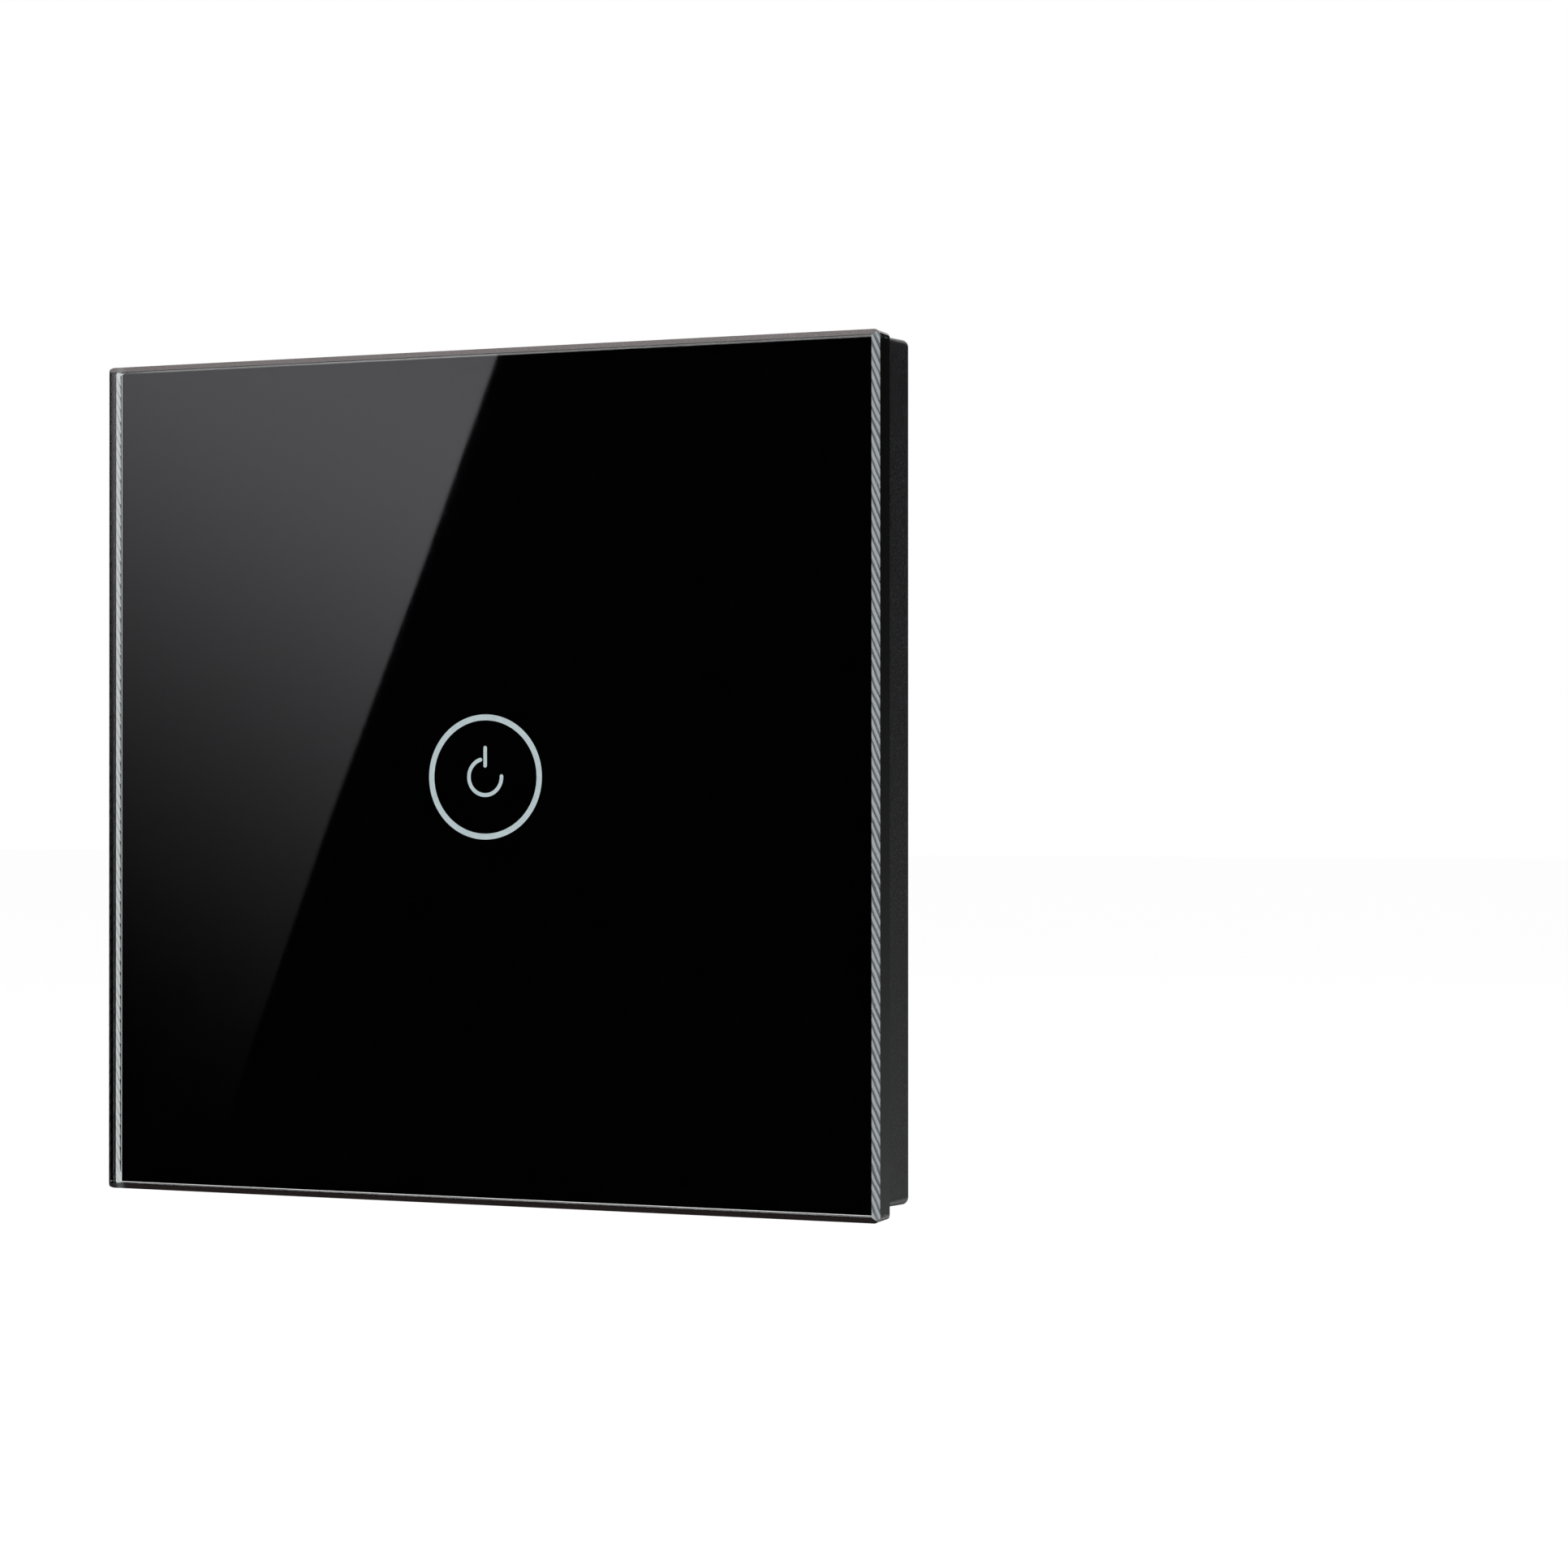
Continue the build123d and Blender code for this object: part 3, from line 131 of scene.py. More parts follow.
# The level slants are worn evenly, but for the smoother arris along the face, in millimetres.
LEVEL_WEAR = 0.3
LEVEL_GRIT = 0.15
ARRIS_DEPTH = 0.09
ARRIS_SMOOTH = 0.8

# The share of a slant that is frosted, and the roughness and relief of the glass.
FROST_LEAST = 0.5
FROST_MORE = 0.36
FROST_ROUGH = 0.4
GLASS_ROUGH = 0.015
EDGE_ROUGH = 0.03
SLANT_ROUGH = 0.2
WEAR_ROUGH = 0.15
GRIND_DEPTH = 0.012
GLASS_IOR = 1.52

# Flat edges, by millimetres behind the face: pale as far as the line, dark as far as the split,
# which wanders along the edge, and pale again behind it. These bands are painted light and shade,
# standing in for the rim and the print that show through the glass.
EDGE_LINE = 0.78
EDGE_SPLIT = 1.85
EDGE_SPLIT_SOFT = 0.25
EDGE_SPLIT_WANDER = 0.3

# The clear glass, the painted light and shade of its flat edges, and the shades of its slants,
# from dark to pale.
CLEAR_TINT = (0.97, 0.985, 0.98)
EDGE_PAINTED_LIGHT = ((0.003, 0.0052, 0.0052), (0.15, 0.225, 0.22))
SLANT_SHADES = ((0.25, 0.285, 0.29), (0.42, 0.455, 0.46))
CUT_FROST = ((0.21, 0.225, 0.24), (0.44, 0.465, 0.48))
LEVEL_FROST = ((0.02, 0.02, 0.02), (0.34, 0.3, 0.3))
BACK_FROST = ((0.035, 0.037, 0.043), (0.05, 0.052, 0.06))

# Tracks on the two boards: the millimetres between them, how they bend, and where copper starts.
TRACK_PITCH = 1.7
TRACK_BEND = 3.0
TRACK_LEVEL = 0.1

# Solder points: how many in a millimetre, how scattered, and how large beside their distance.
SOLDER_PER_MM = 0.3
SOLDER_SCATTER = 0.8
SOLDER_SIZE = 0.17
SOLDER_TINT = (0.52, 0.52, 0.5)

# How rough a bare board is, what coated copper and solder take off and the weave adds, and the
# height of each under the coat.
BOARD_ROUGH = 0.62
COPPER_POLISH = 0.15
SOLDER_POLISH = 0.25
WEAVE_ROUGH = 0.1
COPPER_HEIGHT = 0.5
WEAVE_HEIGHT = 0.1

# Faces that look this far to the front or back are the board's broad ones.
BOARD_LEAN = 0.7

# The enamelled wire: turns in a millimetre, and how far they stray, in millimetres.
WIRE_TURNS_PER_MM = 5.0
WIRE_STRAY = 0.05

# What grain and flow add to the roughness of moulded plastic, and what the mould's polish takes.
GRAIN_ROUGH = 0.12
FLOW_ROUGH = 0.06
MOULD_POLISH = 0.08

# Pale flecks in the grain: where they start and are full, and how they brighten the pale shade.
FLECK_STARTS = 0.52
FLECK_FULL = 0.64
FLECK_GAIN = 5
FLECK_LIFT = 0.012

# What lines and patches add to the roughness of plated metal, what its polish takes, and where
# stains start, are full, and how much they cover.
LINE_ROUGH = 0.16
PATCH_ROUGH = 0.1
PLATE_POLISH = 0.1
STAIN_STARTS = 0.55
STAIN_FULL = 0.8
STAIN_SHARE = 0.5

# Moulded plastics: the two shades of their grain, its size and depth, their roughness, and the
# share of pale flecks.
MOULDED = {
    # The skirt behind the glass.
    "carrier_plastic": {
        "dark": (0.003, 0.003, 0.0038), "pale": (0.0105, 0.0102, 0.0125),
        "grain_per_mm": 4.5, "depth_mm": 0.02, "rough": 0.33, "specular": 0.5, "flecks": 0.2},
    # The module's housing and the shell in front of it.
    "housing_plastic": {
        "dark": (0.0008, 0.0008, 0.0013), "pale": (0.003, 0.003, 0.0043),
        "grain_per_mm": 4.5, "depth_mm": 0.025, "rough": 0.37, "specular": 0.35, "flecks": 0.16},
    # The smoother terminal block, and the relay's bobbin.
    "terminal_plastic": {
        "dark": (0.0012, 0.0012, 0.0015), "pale": (0.0028, 0.0028, 0.0034),
        "grain_per_mm": 8.0, "depth_mm": 0.006, "rough": 0.32, "specular": 0.4},
    # Chips, the rectifier, the transistor and the connectors.
    "chip_epoxy": {
        "dark": (0.01, 0.01, 0.01), "pale": (0.02, 0.02, 0.02),
        "grain_per_mm": 9.0, "depth_mm": 0.01, "rough": 0.6},
    # The relay's blue case and base.
    "relay_plastic": {
        "dark": (0.02, 0.09, 0.32), "pale": (0.03, 0.13, 0.43),
        "grain_per_mm": 5.0, "depth_mm": 0.006, "rough": 0.32},
    # The film capacitor's box.
    "yellow_case": {
        "dark": (0.66, 0.48, 0.05), "pale": (0.8, 0.62, 0.09),
        "grain_per_mm": 3.0, "depth_mm": 0.006, "rough": 0.34},
    # The choke's core.
    "ferrite": {
        "dark": (0.035, 0.035, 0.04), "pale": (0.07, 0.07, 0.075),
        "grain_per_mm": 6.0, "depth_mm": 0.02, "rough": 0.6},
}

# Plated metals: their two shades, their roughness, and how fine the lines are along each axis.
PLATED = {
    # The plate, its rivets and the terminal cages: dull zinc with stains.
    "zinc_steel": {
        "dark": (0.5, 0.56, 0.51), "pale": (0.68, 0.74, 0.68), "rough": 0.38,
        "brush": (0.15, 1.0, 1.0), "stain": (0.42, 0.5, 0.44), "bare": 0.45},
    # The clips that hold the panel.
    "spring_steel": {
        "dark": (0.36, 0.36, 0.36), "pale": (0.56, 0.56, 0.55), "rough": 0.3,
        "brush": (1.0, 0.2, 1.0)},
    # Screws, and the relay's iron.
    "screw_steel": {
        "dark": (0.48, 0.48, 0.47), "pale": (0.66, 0.66, 0.64), "rough": 0.28},
    # The touch electrode.
    "tinned_copper": {
        "dark": (0.56, 0.54, 0.52), "pale": (0.74, 0.72, 0.69), "rough": 0.32},
    # The bus bars and the relay's contacts.
    "tinned_brass": {
        "dark": (0.62, 0.55, 0.4), "pale": (0.78, 0.72, 0.56), "rough": 0.3,
        "brush": (1.0, 0.2, 1.0)},
}

# Boards: the coated face, the tracks under the coat, and the bare core on the cut edges.
BOARDS = {
    # The touch board.
    "green_board": {
        "mask": (0.012, 0.1, 0.04), "track": (0.028, 0.18, 0.07), "core": (0.42, 0.45, 0.26)},
    # The power board, which shows through the air slots.
    "tan_board": {
        "mask": (0.5, 0.38, 0.2), "track": (0.4, 0.27, 0.1), "core": (0.16, 0.125, 0.085)},
}

# Dipped, sleeved or glazed coats: their two shades, their roughness, and how deep they are lumpy.
COATED = {
    # The reservoir capacitor's sleeve.
    "can_sleeve": {
        "dark": (0.02, 0.02, 0.035), "pale": (0.035, 0.035, 0.06), "rough": 0.25,
        "lumps_mm": 0.02},
    # The varistor.
    "blue_coating": {
        "dark": (0.02, 0.1, 0.36), "pale": (0.04, 0.16, 0.48), "rough": 0.2, "lumps_mm": 0.05},
    # The fuse.
    "fuse_glass": {
        "dark": (0.62, 0.58, 0.5), "pale": (0.78, 0.75, 0.68), "rough": 0.25, "lumps_mm": 0.02},
}

# Each material slot of the record, and the nodes that have it.
NODES_OF = {
    "panel_glass": ["glass_panel"],
    "back_print": ["black_print"],
    "lit_window": ["light_ring", "power_icon"],
    "adhesive_foam": ["panel_tape"],
    "carrier_plastic": ["panel_carrier"],
    "housing_plastic": ["front_shell", "rear_housing"],
    "terminal_plastic": ["terminal_block", "relay_bobbin"],
    "zinc_steel": ["mounting_plate", "clip_rivets",
                   "terminal_cage_1", "terminal_cage_2", "terminal_cage_3"],
    "spring_steel": ["panel_clips"],
    "screw_steel": ["housing_screws", "terminal_screw_1", "terminal_screw_2", "terminal_screw_3",
                    "relay_core", "relay_yoke", "relay_armature"],
    "diffuser_plastic": ["light_diffuser"],
    "tinned_copper": ["touch_electrode"],
    "tinned_brass": ["bus_bars", "relay_fixed_contact", "relay_moving_contact"],
    "green_board": ["touch_board"],
    "tan_board": ["power_board"],
    "lamp_resin": ["indicator_lamps"],
    "chip_epoxy": ["touch_chip", "bridge_rectifier", "driver_transistor",
                   "link_header", "link_socket"],
    "relay_plastic": ["relay_case", "relay_base"],
    "copper_wire": ["relay_winding", "choke_winding"],
    "yellow_case": ["film_capacitor"],
    "can_sleeve": ["reservoir_capacitor"],
    "blue_coating": ["varistor"],
    "fuse_glass": ["board_fuse"],
    "ferrite": ["choke_core"],
}


class Wire:
    """One output of a node. An expression on wires adds its Math nodes."""

    def __init__(self, finish, socket):
        self.finish = finish
        self.socket = socket

    def _math(self, operation, *values):
        return self.finish.node("Math", {"operation": operation}, dict(enumerate(values)))

    def __add__(self, other):
        return self._math("ADD", self, other)

    def __radd__(self, other):
        return self._math("ADD", other, self)

    def __sub__(self, other):
        return self._math("SUBTRACT", self, other)

    def __rsub__(self, other):
        return self._math("SUBTRACT", other, self)

    def __mul__(self, other):
        return self._math("MULTIPLY", self, other)

    def __rmul__(self, other):
        return self._math("MULTIPLY", other, self)

    def __truediv__(self, other):
        return self._math("DIVIDE", self, other)

    def __rtruediv__(self, other):
        return self._math("DIVIDE", other, self)

    def __pow__(self, other):
        return self._math("POWER", self, other)

    def __rpow__(self, other):
        return self._math("POWER", other, self)

    def __abs__(self):
        return self._math("ABSOLUTE", self)

    def __gt__(self, other):
        return self._math("GREATER_THAN", self, other)

    def __lt__(self, other):
        return self._math("LESS_THAN", self, other)

    def up_to(self, most):
        return self._math("MINIMUM", self, most)

    def at_least(self, least):
        return self._math("MAXIMUM", self, least)

    def wave(self):
        """A sine from -1 to 1."""
        return self._math("SINE", self)

    def ripple(self):
        """A sine from 0 to 1."""
        return self.wave() * 0.5 + 0.5

    def joined(self, other, share):
        """This wire by its share, and the other by the rest."""
        return self * share + other * (1.0 - share)

    def eased(self, start, end):
        """0 below start, 1 above end, and smooth between them."""
        settings = {"data_type": "FLOAT", "interpolation_type": "SMOOTHSTEP"}
        inputs = {"Value": self, "From Min": start, "From Max": end}
        return self.finish.node("MapRange", settings, inputs)


class Finish:
    """The nodes of one material, or of the world."""

    # Sockets of the Mix node for colours, by number, because their names repeat.
    MIX_SHARE, MIX_FIRST, MIX_SECOND, MIX_COLOUR = 0, 6, 7, 2

    def __init__(self, owner):
        owner.use_nodes = True
        self.owner = owner
        self.tree = owner.node_tree
        self.tree.nodes.clear()

    def node(self, kind, settings=None, inputs=None, output=0):
        """A node of this kind, with its settings, then its sockets, as the wire of one output."""
        made = self.tree.nodes.new("ShaderNode" + kind)
        for name, value in (settings or {}).items():
            if name == "stops":
                for stop, (place, colour) in zip(made.color_ramp.elements, value):
                    stop.position = place
                    stop.color = (*colour, 1.0)
            else:
                setattr(made, name, value)
        for name, value in (inputs or {}).items():
            socket = made.inputs[name]
            if isinstance(value, Wire):
                self.tree.links.new(value.socket, socket)
            elif socket.type == "RGBA":
                socket.default_value = (*value, 1.0)
            else:
                socket.default_value = value
        return Wire(self, made.outputs[output]) if len(made.outputs) else None

    def place(self):
        """The point on the piece, in millimetres."""
        return self.scaled(self.place_in_metres(), 1 / MM)

    def place_in_metres(self):
        return self.node("TexCoord", output="Object")

    def facing(self):
        """The three parts of the direction in which the surface faces, on the piece itself."""
        return self.parts_of(self.node("TexCoord", output="Normal"))

    def parts_of(self, vector):
        return [self.node("SeparateXYZ", inputs={0: vector}, output=i) for i in range(3)]

    def point(self, x, y, z):
        return self.node("CombineXYZ", inputs={"X": x, "Y": y, "Z": z})

    def scaled(self, vector, factor):
        """A point or a colour times one number."""
        inputs = {"Vector": vector, "Scale": factor}
        return self.node("VectorMath", {"operation": "SCALE"}, inputs)

    def stretched(self, vector, x, y, z):
        return self.node("VectorMath", {"operation": "MULTIPLY"}, {0: vector, 1: (x, y, z)})

    def noise(self, vector, scale, detail=2.0, roughness=0.5, warp=0.0):
        """Noise of about 0 to 1."""
        inputs = {"Vector": vector, "Scale": scale, "Detail": detail,
                  "Roughness": roughness, "Distortion": warp}
        return self.node("TexNoise", inputs=inputs)

    def cells(self, vector, scale, scatter=1.0):
        """The distance to the nearest of many points."""
        inputs = {"Vector": vector, "Scale": scale, "Randomness": scatter}
        return self.node("TexVoronoi", {"feature": "F1"}, inputs, output="Distance")

    def shade(self, share, dark, pale, low=0.0, high=1.0):
        """A colour from dark, where the share is low, to pale, where it is high."""
        return self.node("ValToRGB", {"stops": ((low, dark), (high, pale))}, {"Fac": share})

    def blend(self, share, first, second):
        """Two colours mixed by a share."""
        inputs = {self.MIX_SHARE: share, self.MIX_FIRST: first, self.MIX_SECOND: second}
        return self.node("Mix", {"data_type": "RGBA"}, inputs, output=self.MIX_COLOUR)

    def bump(self, height, depth_mm):
        """A normal from a height of 0 to 1 that stands for depth_mm."""
        inputs = {"Height": height, "Distance": depth_mm * MM, "Strength": 1.0}
        return self.node("Bump", inputs=inputs)

    def surface(self, **sockets):
        """A Principled shader. An underscore in a name stands for a space."""
        names = {"ior": "IOR", "specular": "Specular IOR Level"}
        inputs = {names.get(n, n.replace("_", " ").title()): v for n, v in sockets.items()}
        return self.node("BsdfPrincipled", inputs=inputs)

    def glow(self, colour, strength=1.0):
        return self.node("Emission", inputs={"Color": colour, "Strength": strength})

    def overlaid(self, share, under, over):
        """Two shaders mixed by a share."""
        return self.node("MixShader", inputs={0: share, 1: under, 2: over})

    def done(self, shader):
        kind = "OutputWorld" if isinstance(self.owner, bpy.types.World) else "OutputMaterial"
        self.node(kind, inputs={"Surface": shader})
        return self.owner


def new_finish(name):
    return Finish(bpy.data.materials.new(name))


def panel_glass():
    """Float glass: polished faces, flat edges in bands of painted light and shade, and ground
    slants.
    """
    f = new_finish("panel_glass")
    at = f.place()
    x, y, z = f.parts_of(at)
    side_look, front_look, _ = f.facing()
    lean = abs(front_look)
    ground = (lean > EDGE_LEAN) * (lean < BROAD_LEAN)
    edge = lean < EDGE_LEAN
    upright = (abs(side_look) > SIDE_LEAN) * (front_look < 0.0)
    level = 1.0 - upright
    behind = front_look > 0.0
    outside = 1.0 - f.node("NewGeometry", output="Backfacing")
    face = min(v.co.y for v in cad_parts["glass_panel"].data.vertices) / MM
    depth = y - face

    phase = x + z + y * MARK_CLIMB
    sway = f.noise(at, scale=0.35, detail=2.0) * MARK_SWAY
    lines = (phase * (TURN / MARK_PITCH) + sway).ripple()
    along = f.point(phase * STREAKS_PER_MM, (x + z) * STREAK_DRIFT, 0.0)
    streaks = f.noise(along, scale=1.0, detail=1.5)
    grit = f.noise(at, scale=13.0, detail=2.0, roughness=0.6)
    marks = lines * LINE_SHARE + streaks * STREAK_SHARE + grit * GRIT_SHARE
    wear = marks.eased(WEAR_STARTS, WEAR_FULL) * upright + level * (grit * LEVEL_GRIT + LEVEL_WEAR)
    wear = wear * (1.0 - level * (depth < ARRIS_DEPTH) * ARRIS_SMOOTH)

    # The edge bands are painted light and shade for what the edge shows by refraction.
    wander = f.noise(f.stretched(at, 0.0, 0.0, 1.0), scale=0.08, detail=3.0)
    split = depth + wander * EDGE_SPLIT_WANDER
    painted_band = split.eased(EDGE_SPLIT, EDGE_SPLIT + EDGE_SPLIT_SOFT).at_least(depth < EDGE_LINE)
    tint = f.blend(edge * outside, CLEAR_TINT, f.shade(painted_band, *EDGE_PAINTED_LIGHT))
    tint = f.blend(ground, tint, f.shade(wear, *SLANT_SHADES))
    rough = GLASS_ROUGH + ground * (SLANT_ROUGH + wear * WEAR_ROUGH) + edge * EDGE_ROUGH
    normal = f.bump(wear * ground, GRIND_DEPTH)
    clear = f.surface(
        base_color=tint, roughness=rough, normal=normal, transmission_weight=1.0, ior=GLASS_IOR)

    cut = f.shade(wear, *CUT_FROST)
    plain = f.shade(wear, *LEVEL_FROST, high=0.45)
    dull = f.shade(grit, *BACK_FROST, low=0.3, high=0.7)
    frost_tint = f.blend(behind, f.blend(upright, plain, cut), dull)
    frost = f.surface(
        base_color=frost_tint, metallic=1.0 - behind, roughness=FROST_ROUGH, normal=normal)
    frosted = ground * outside * (FROST_LEAST + wear * FROST_MORE)
    return f.done(f.overlaid(frosted, clear, frost))


def back_print():
    """Opaque black ink, seen through the glass."""
    f = new_finish("back_print")
    patches = f.noise(f.place(), scale=0.3, detail=3.0)
    ink = f.shade(
        patches, (0.0009, 0.0009, 0.0012), (0.0016, 0.0016, 0.0021), low=0.35, high=0.7)
    return f.done(f.surface(base_color=ink, roughness=0.6 + patches * 0.2, specular=0.0))


def lit_window():
    """Translucent print over the lamps, which glows with painted light in its own colour."""
    f = new_finish("lit_window")
    mist = f.noise(f.place(), scale=1.5, detail=2.0)
    # The emission is painted light: the window glows though no lamp lights it.
    glow = f.shade(mist, (0.44, 0.52, 0.54), (0.5, 0.575, 0.59), low=0.3, high=0.75)
    return f.done(f.surface(
        base_color=glow, roughness=0.6, specular=0.0, emission_color=glow, emission_strength=0.6))


def adhesive_foam():
    """Black acrylic foam tape with fine cells, painted darker in their pits."""
    f = new_finish("adhesive_foam")
    pore_pits_and_painted_shade = f.cells(f.place(), scale=9.0)
    # The colour darkens in the pits of the cells: painted shade, beside the real relief of the
    # bump.
    tone = f.shade(pore_pits_and_painted_shade, (0.008, 0.008, 0.008), (0.03, 0.03, 0.031), high=0.6)
    return f.done(f.surface(
        base_color=tone, roughness=0.85, specular=0.2, normal=f.bump(pore_pits_and_painted_shade, depth_mm=0.05)))


def moulded_plastic(name, dark, pale, grain_per_mm, depth_mm, rough, specular=0.5, flecks=0.0):
    """Moulded plastic: the mould's grain and pits, and faint patches where the melt flowed."""
    f = new_finish(name)
    at = f.place()
    grain = f.noise(at, grain_per_mm, detail=3.0, roughness=0.62)
    flow = f.noise(at, scale=0.12, detail=3.0, roughness=0.55, warp=0.6)
    pits = f.cells(at, grain_per_mm * 0.8)
    tone = f.shade(grain.joined(flow, share=0.75), dark, pale, low=0.3, high=0.72)
    if flecks:
        spots = f.noise(at, grain_per_mm, detail=1.0, warp=0.4).eased(FLECK_STARTS, FLECK_FULL)
        bright = tuple(c * FLECK_GAIN + FLECK_LIFT for c in pale)
        tone = f.blend(spots * flecks, tone, bright)
    sheen = rough - MOULD_POLISH + grain * GRAIN_ROUGH + flow * FLOW_ROUGH
    normal = f.bump(grain.joined(pits, share=0.6), depth_mm)
    return f.done(f.surface(base_color=tone, roughness=sheen, specular=specular, normal=normal))


def plated_metal(name, dark, pale, rough, brush=(1.0, 1.0, 1.0), stain=None, bare=1.0):
    """Plated metal with rolling or turning lines and slow changes of tone."""
    f = new_finish(name)
    at = f.place()
    lines = f.noise(f.stretched(at, *brush), scale=6.0, detail=3.0, roughness=0.6)
    patches = f.noise(at, scale=0.35, detail=3.0, roughness=0.6, warp=0.4)
    tone = f.shade(patches.joined(lines, share=0.6), dark, pale, low=0.32, high=0.7)
    if stain:
        spread = f.noise(at, scale=0.9, detail=4.0, roughness=0.65)
        tone = f.blend(spread.eased(STAIN_STARTS, STAIN_FULL) * STAIN_SHARE, tone, stain)
    sheen = rough + lines * LINE_ROUGH + patches * PATCH_ROUGH - PLATE_POLISH
    normal = f.bump(lines, depth_mm=0.006)
    return f.done(f.surface(base_color=tone, metallic=bare, roughness=sheen, normal=normal))


def circuit_board(name, mask, track, core):
    """A board: tracks and solder points on its broad faces, and bare core on its cut edges."""
    f = new_finish(name)
    at = f.place()
    x, _, z = f.parts_of(at)
    on_face = f.stretched(at, 1.0, 0.0, 1.0)
    broad = abs(f.facing()[1]) > BOARD_LEAN
    upright = f.noise(on_face, scale=0.16, detail=0.0) > 0.5
    bend = f.noise(at, scale=0.1, detail=0.0) * TRACK_BEND
    across = (x * (TURN / TRACK_PITCH) + bend).wave() > TRACK_LEVEL
    along = (z * (TURN / TRACK_PITCH) + bend).wave() > TRACK_LEVEL
    copper = (across * upright + along * (1.0 - upright)) * broad
    solder = (f.cells(on_face, SOLDER_PER_MM, SOLDER_SCATTER) < SOLDER_SIZE) * broad
    weave = f.noise(at, scale=5.0, detail=2.0)
    bare = f.shade(weave, tuple(c * 0.8 for c in core), core, low=0.35, high=0.7)
    face = f.blend(solder, f.blend(copper, mask, track), SOLDER_TINT)
    tone = f.blend(broad, bare, face)
    sheen = BOARD_ROUGH - copper * COPPER_POLISH - solder * SOLDER_POLISH + weave * WEAVE_ROUGH
    normal = f.bump(copper * COPPER_HEIGHT + solder + weave * WEAVE_HEIGHT, depth_mm=0.04)
    return f.done(f.surface(base_color=tone, metallic=solder, roughness=sheen, normal=normal))


def diffuser_plastic():
    """Milky plastic that spreads the lamps' light."""
    f = new_finish("diffuser_plastic")
    cloud = f.noise(f.place(), scale=1.2, detail=3.0)
    tone = f.shade(cloud, (0.7, 0.71, 0.7), (0.84, 0.85, 0.84), low=0.3, high=0.75)
    return f.done(f.surface(
        base_color=tone, roughness=0.42 + cloud * 0.1, subsurface_weight=0.3,
        subsurface_scale=1.0 * MM, normal=f.bump(cloud, depth_mm=0.01)))


def lamp_resin():
    """Clear resin over a yellow chip."""
    f = new_finish("lamp_resin")
    chip = f.noise(f.place(), scale=1.1, detail=1.0)
    tone = f.shade(chip, (0.75, 0.68, 0.3), (0.86, 0.85, 0.72), low=0.35, high=0.65)
    return f.done(f.surface(base_color=tone, roughness=0.14 + chip * 0.1, coat_weight=0.6))


def copper_wire():
    """Enamelled wire laid in close turns, with painted shade in the grooves between them."""
    f = new_finish("copper_wire")
    at = f.place()
    turns = f.parts_of(at)[1] + f.noise(at, scale=0.7, detail=2.0) * WIRE_STRAY
    turn_relief_and_painted_shade = (turns * (TURN * WIRE_TURNS_PER_MM)).ripple()
    # The colour darkens in the grooves between turns: painted shade, beside the real relief of the
    # bump.
    tone = f.shade(turn_relief_and_painted_shade, (0.2, 0.06, 0.02), (0.62, 0.24, 0.09), low=0.05, high=0.85)
    return f.done(f.surface(
        base_color=tone, metallic=0.55, roughness=0.3 + f.noise(at, scale=4.0) * 0.15,
        coat_weight=0.5, normal=f.bump(turn_relief_and_painted_shade, depth_mm=0.06)))


def soft_coat(name, dark, pale, rough, lumps_mm):
    """A dipped, sleeved or glazed coat with a soft gloss."""
    f = new_finish(name)
    at = f.place()
    lumps = f.noise(at, scale=0.8, detail=3.0)
    dust = f.noise(at, scale=11.0, detail=2.0)
    tone = f.shade(lumps.joined(dust, share=0.7), dark, pale, low=0.3, high=0.72)
    return f.done(f.surface(
        base_color=tone, roughness=rough + dust * 0.12, coat_weight=0.25,
        normal=f.bump(lumps, lumps_mm)))


def all_finishes():
    """Each material slot of the record with its finish."""
    single = (panel_glass, back_print, lit_window, adhesive_foam,
              diffuser_plastic, lamp_resin, copper_wire)
    finishes = {maker.__name__: maker() for maker in single}
    families = ((moulded_plastic, MOULDED), (plated_metal, PLATED),
                (circuit_board, BOARDS), (soft_coat, COATED))
    for maker, looks in families:
        for slot, look in looks.items():
            finishes[slot] = maker(slot, **look)
    return finishes


def dress_nodes():
    """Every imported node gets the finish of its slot."""
    finishes = all_finishes()
    for slot, names in NODES_OF.items():
        for name in names:
            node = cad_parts[name]
            for place in node.material_slots:
                place.material = finishes[slot]


def press_prints():
    """The prints lie in the glass's surface, with no air between them."""
    for name, depth_mm in PRESSED.items():
        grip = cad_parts[name].modifiers.new("ink_grip", "DISPLACE")
        grip.strength = depth_mm * MM
        grip.mid_level = 0.0


def make_camera():
    view = bpy.data.cameras.new("switch_camera")
    view.lens = CAMERA_LENS
    view.sensor_width = CAMERA_SENSOR
    camera = bpy.data.objects.new("switch_camera", view)
    camera.location = CAMERA_PLACE
    camera.rotation_euler = (CAMERA_AIM - CAMERA_PLACE).to_track_quat("-Z", "Y").to_euler()
    bpy.context.scene.collection.objects.link(camera)
    bpy.context.scene.camera = camera


def sight_line(column, row):
    """The direction in which the camera sees a pixel of the picture."""
    ahead = (CAMERA_AIM - CAMERA_PLACE).normalized()
    right = ahead.cross(Vector((0, 0, 1))).normalized()
    up = right.cross(ahead)
    reach = CAMERA_LENS / CAMERA_SENSOR * PHOTO_SIDE
    middle = PHOTO_SIDE / 2
    return (ahead * reach + right * (column - middle) - up * (row - middle)).normalized()


def mirrored_spot(column, row):
    """Where the glass mirrors a pixel of the picture to, on the upright plane of the soft box."""
    line = sight_line(column, row)
    glass_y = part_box("glass_panel")[0].y
    on_glass = CAMERA_PLACE + line * ((glass_y - CAMERA_PLACE.y) / line.y)
    back = Vector((line.x, -line.y, line.z))
    return on_glass + back * ((SOFT_BOX_Y - on_glass.y) / back.y)


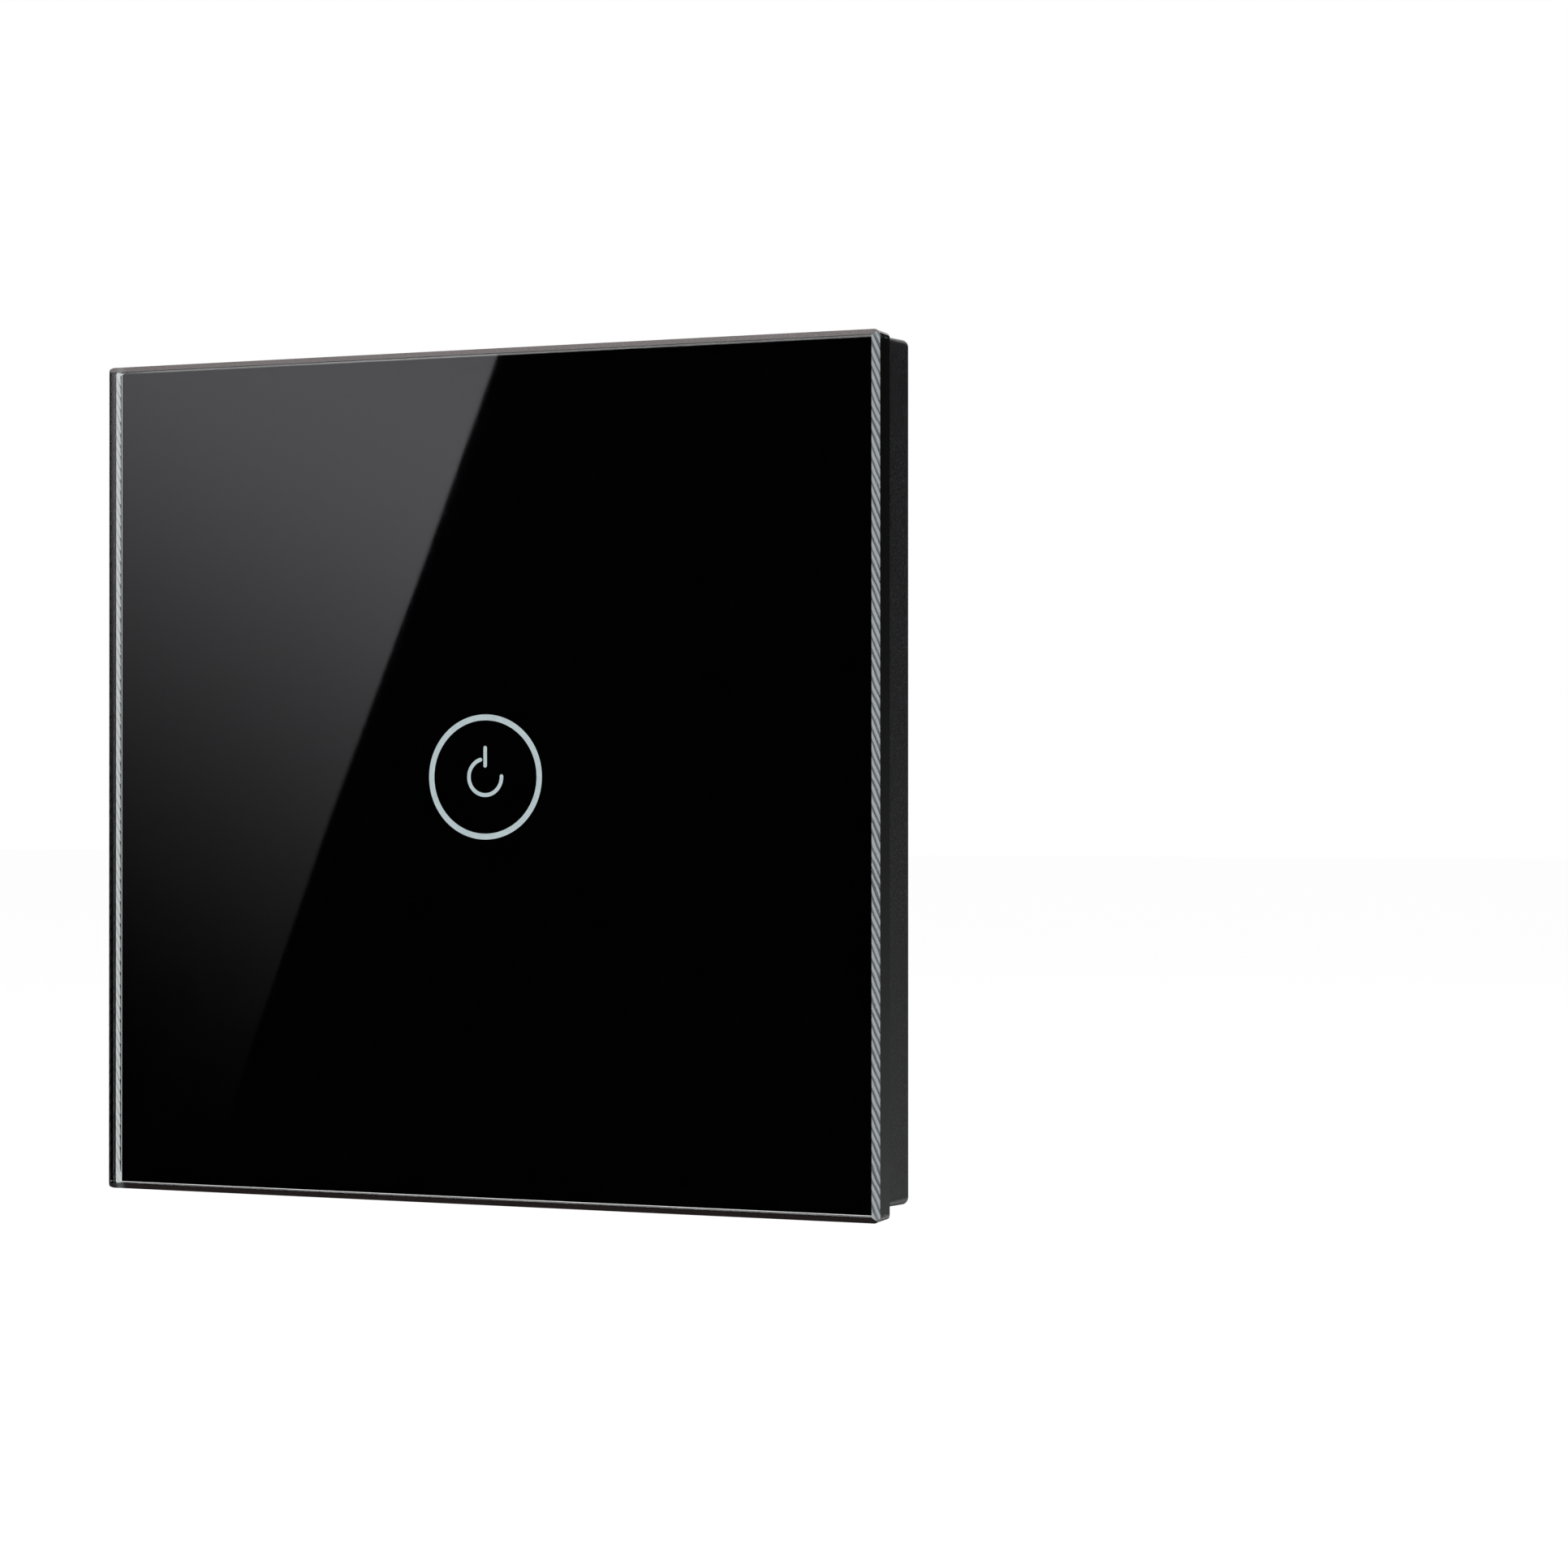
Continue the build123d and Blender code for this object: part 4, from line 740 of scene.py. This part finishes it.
def stage_mesh(name, points, faces, material):
    mesh = bpy.data.meshes.new(name)
    mesh.from_pydata([tuple(p) for p in points], [], faces)
    mesh.materials.append(material)
    thing = bpy.data.objects.new(name, mesh)
    bpy.context.scene.collection.objects.link(thing)
    return thing


def flat_sheet(name, corners, material):
    return stage_mesh(name, corners, [(0, 1, 2, 3)], material)


def only_mirrored(thing):
    """A card or cloth that shows in gloss, and neither lights nor shades the switch."""
    thing.visible_camera = False
    thing.visible_diffuse = False
    thing.visible_transmission = False
    thing.visible_shadow = False
    thing.visible_volume_scatter = False


def soft_box():
    """The slanted soft box that the glass mirrors, fading downward."""
    edge = [mirrored_spot(*pixel) for pixel in REFLECTION_EDGE]
    top_lean = (edge[0] - edge[1]).normalized()
    low_lean = (edge[-1] - edge[-2]).normalized()
    edge.insert(0, edge[0] + top_lean * SOFT_BOX_REACH)
    edge.append(edge[-1] + low_lean * SOFT_BOX_REACH)
    far = mirrored_spot(REFLECTION_LEFT, REFLECTION_FULL_ROW).x - SOFT_BOX_REACH
    points = edge + [Vector((far, p.y, p.z)) for p in edge]
    count = len(edge)
    faces = [(i, i + 1, count + i + 1, count + i) for i in range(count - 1)]
    only_mirrored(stage_mesh("soft_box", points, faces, soft_box_glow()))


def soft_box_glow():
    """The glow of the soft box, which grows upward and a little to the right."""
    f = new_finish("soft_box")
    x, _, z = f.parts_of(f.place_in_metres())
    none = mirrored_spot(REFLECTION_LEFT, REFLECTION_NONE_ROW).z
    full = mirrored_spot(REFLECTION_LEFT, REFLECTION_FULL_ROW).z
    left = mirrored_spot(REFLECTION_LEFT, REFLECTION_TILT_ROW).x
    right = mirrored_spot(REFLECTION_LEFT + REFLECTION_TILT_WIDTH, REFLECTION_TILT_ROW).x
    height = (z - none) / (full - none) + (x - left) / (right - left) * REFLECTION_TILT
    height = height.at_least(0.0).up_to(REFLECTION_TOP)
    limit = 1.0 + height ** REFLECTION_LIMIT_FADE * REFLECTION_LIMIT
    strength = height ** REFLECTION_FADE * REFLECTION_PEAK / limit
    return f.done(f.glow(f.scaled(REFLECTION_TINT, strength)))


def back_cloth_glow():
    """The faint glow of the back cloth, which grows downward."""
    f = new_finish("grey_cloth")
    z = f.parts_of(f.place_in_metres())[2]
    down = ((BACK_GLOW_TOP - z) / BACK_GLOW_REACH).at_least(0.0).up_to(BACK_GLOW_DEEPEST)
    strength = BACK_GLOW_LEAST + down ** BACK_GLOW_FADE * BACK_GLOW_MOST
    return f.done(f.glow(f.scaled(BACK_GLOW_TINT, strength)))


def even_glow(name, tint, strength):
    """A sheet's even glow, or black."""
    f = new_finish(name)
    return f.done(f.glow(tint, strength))


def upright_sheet(name, ends, material, high=CLOTH_HIGH):
    """An upright sheet between two places on the floor, seen in gloss alone."""
    start, end = ends
    corners = [(*start, CLOTH_LOW), (*end, CLOTH_LOW), (*end, high), (*start, high)]
    only_mirrored(flat_sheet(name, corners, material))


def low_cloth():
    """The cloth under the switch, as wide as the others reach."""
    left, front = FRONT_CLOTH[0]
    right = RIGHT_CLOTH[0][0]
    back = LEFT_CLOTH[1][1]
    places = ((left, front), (right, front), (right, back), (left, back))
    corners = [(*place, CLOTH_LOW) for place in places]
    only_mirrored(flat_sheet("low_cloth", corners, even_glow("low_cloth", LOW_GLOW_TINT, LOW_GLOW)))


def cloths_and_card():
    """Cloths round the switch, which keep the glass and the dark plastics dark, and one card."""
    black = even_glow("black_cloth", BLACK, 0.0)
    upright_sheet("front_cloth", FRONT_CLOTH, black)
    upright_sheet("left_cloth", LEFT_CLOTH, black, LEFT_CLOTH_HIGH)
    upright_sheet("right_cloth", RIGHT_CLOTH, black)
    upright_sheet("corner_cloth", CORNER_CLOTH, black)
    upright_sheet("back_cloth", BACK_CLOTH, back_cloth_glow())
    upright_sheet("side_card", SIDE_CARD, even_glow("side_card", SIDE_CARD_TINT, SIDE_CARD_GLOW))
    low_cloth()


def seen_share(f):
    """1 for what the camera sees, straight, mirrored or through glass, and 0 for soft light."""
    straight, mirrored, through = (f.node("LightPath", output=ray) for ray in SEEN_RAYS)
    return (straight + mirrored + through).up_to(1.0)


def make_floor():
    """A pale paper floor that looks white and keeps the shadow of the switch."""
    f = new_finish("pale_floor")
    mottle = f.noise(f.place_in_metres(), scale=3.0, detail=3.0)
    tone = f.shade(mottle, FLOOR_DARK, FLOOR_PALE, low=0.3, high=0.7)
    paper = f.node("BsdfDiffuse", inputs={"Color": tone})
    mixed = f.overlaid(seen_share(f) * FLOOR_GLOW_SHARE, paper, f.glow(WHITE, FLOOR_GLOW))
    r = FLOOR_REACH
    corners = [(-r, -r, FLOOR_Z), (r, -r, FLOOR_Z), (r, r, FLOOR_Z), (-r, r, FLOOR_Z)]
    floor = flat_sheet("pale_floor", corners, f.done(mixed))
    floor.visible_glossy = False


def light_world():
    """Plain soft light from all round, which looks white."""
    world = bpy.data.worlds.new("studio_air")
    bpy.context.scene.world = world
    f = Finish(world)
    strength = AMBIENT + seen_share(f) * (1.0 - AMBIENT)
    f.done(f.node("Background", inputs={"Color": WHITE, "Strength": strength}))


def area_lamp(name, place, side, watts, tint):
    """A square lamp that points at the switch and isn't seen itself."""
    lamp = bpy.data.lights.new(name, "AREA")
    lamp.shape = "SQUARE"
    lamp.size = side
    lamp.energy = watts
    lamp.color = tint
    thing = bpy.data.objects.new(name, lamp)
    thing.location = place
    thing.rotation_euler = (-Vector(place)).to_track_quat("-Z", "Y").to_euler()
    thing.visible_camera = False
    thing.visible_glossy = False
    thing.visible_transmission = False
    bpy.context.scene.collection.objects.link(thing)


def set_studio():
    bpy.context.scene.view_settings.view_transform = "Standard"
    make_camera()
    light_world()
    make_floor()
    soft_box()
    cloths_and_card()
    for name, lamp in LAMPS.items():
        area_lamp(name, **lamp)


dress_nodes()
press_prints()
set_studio()
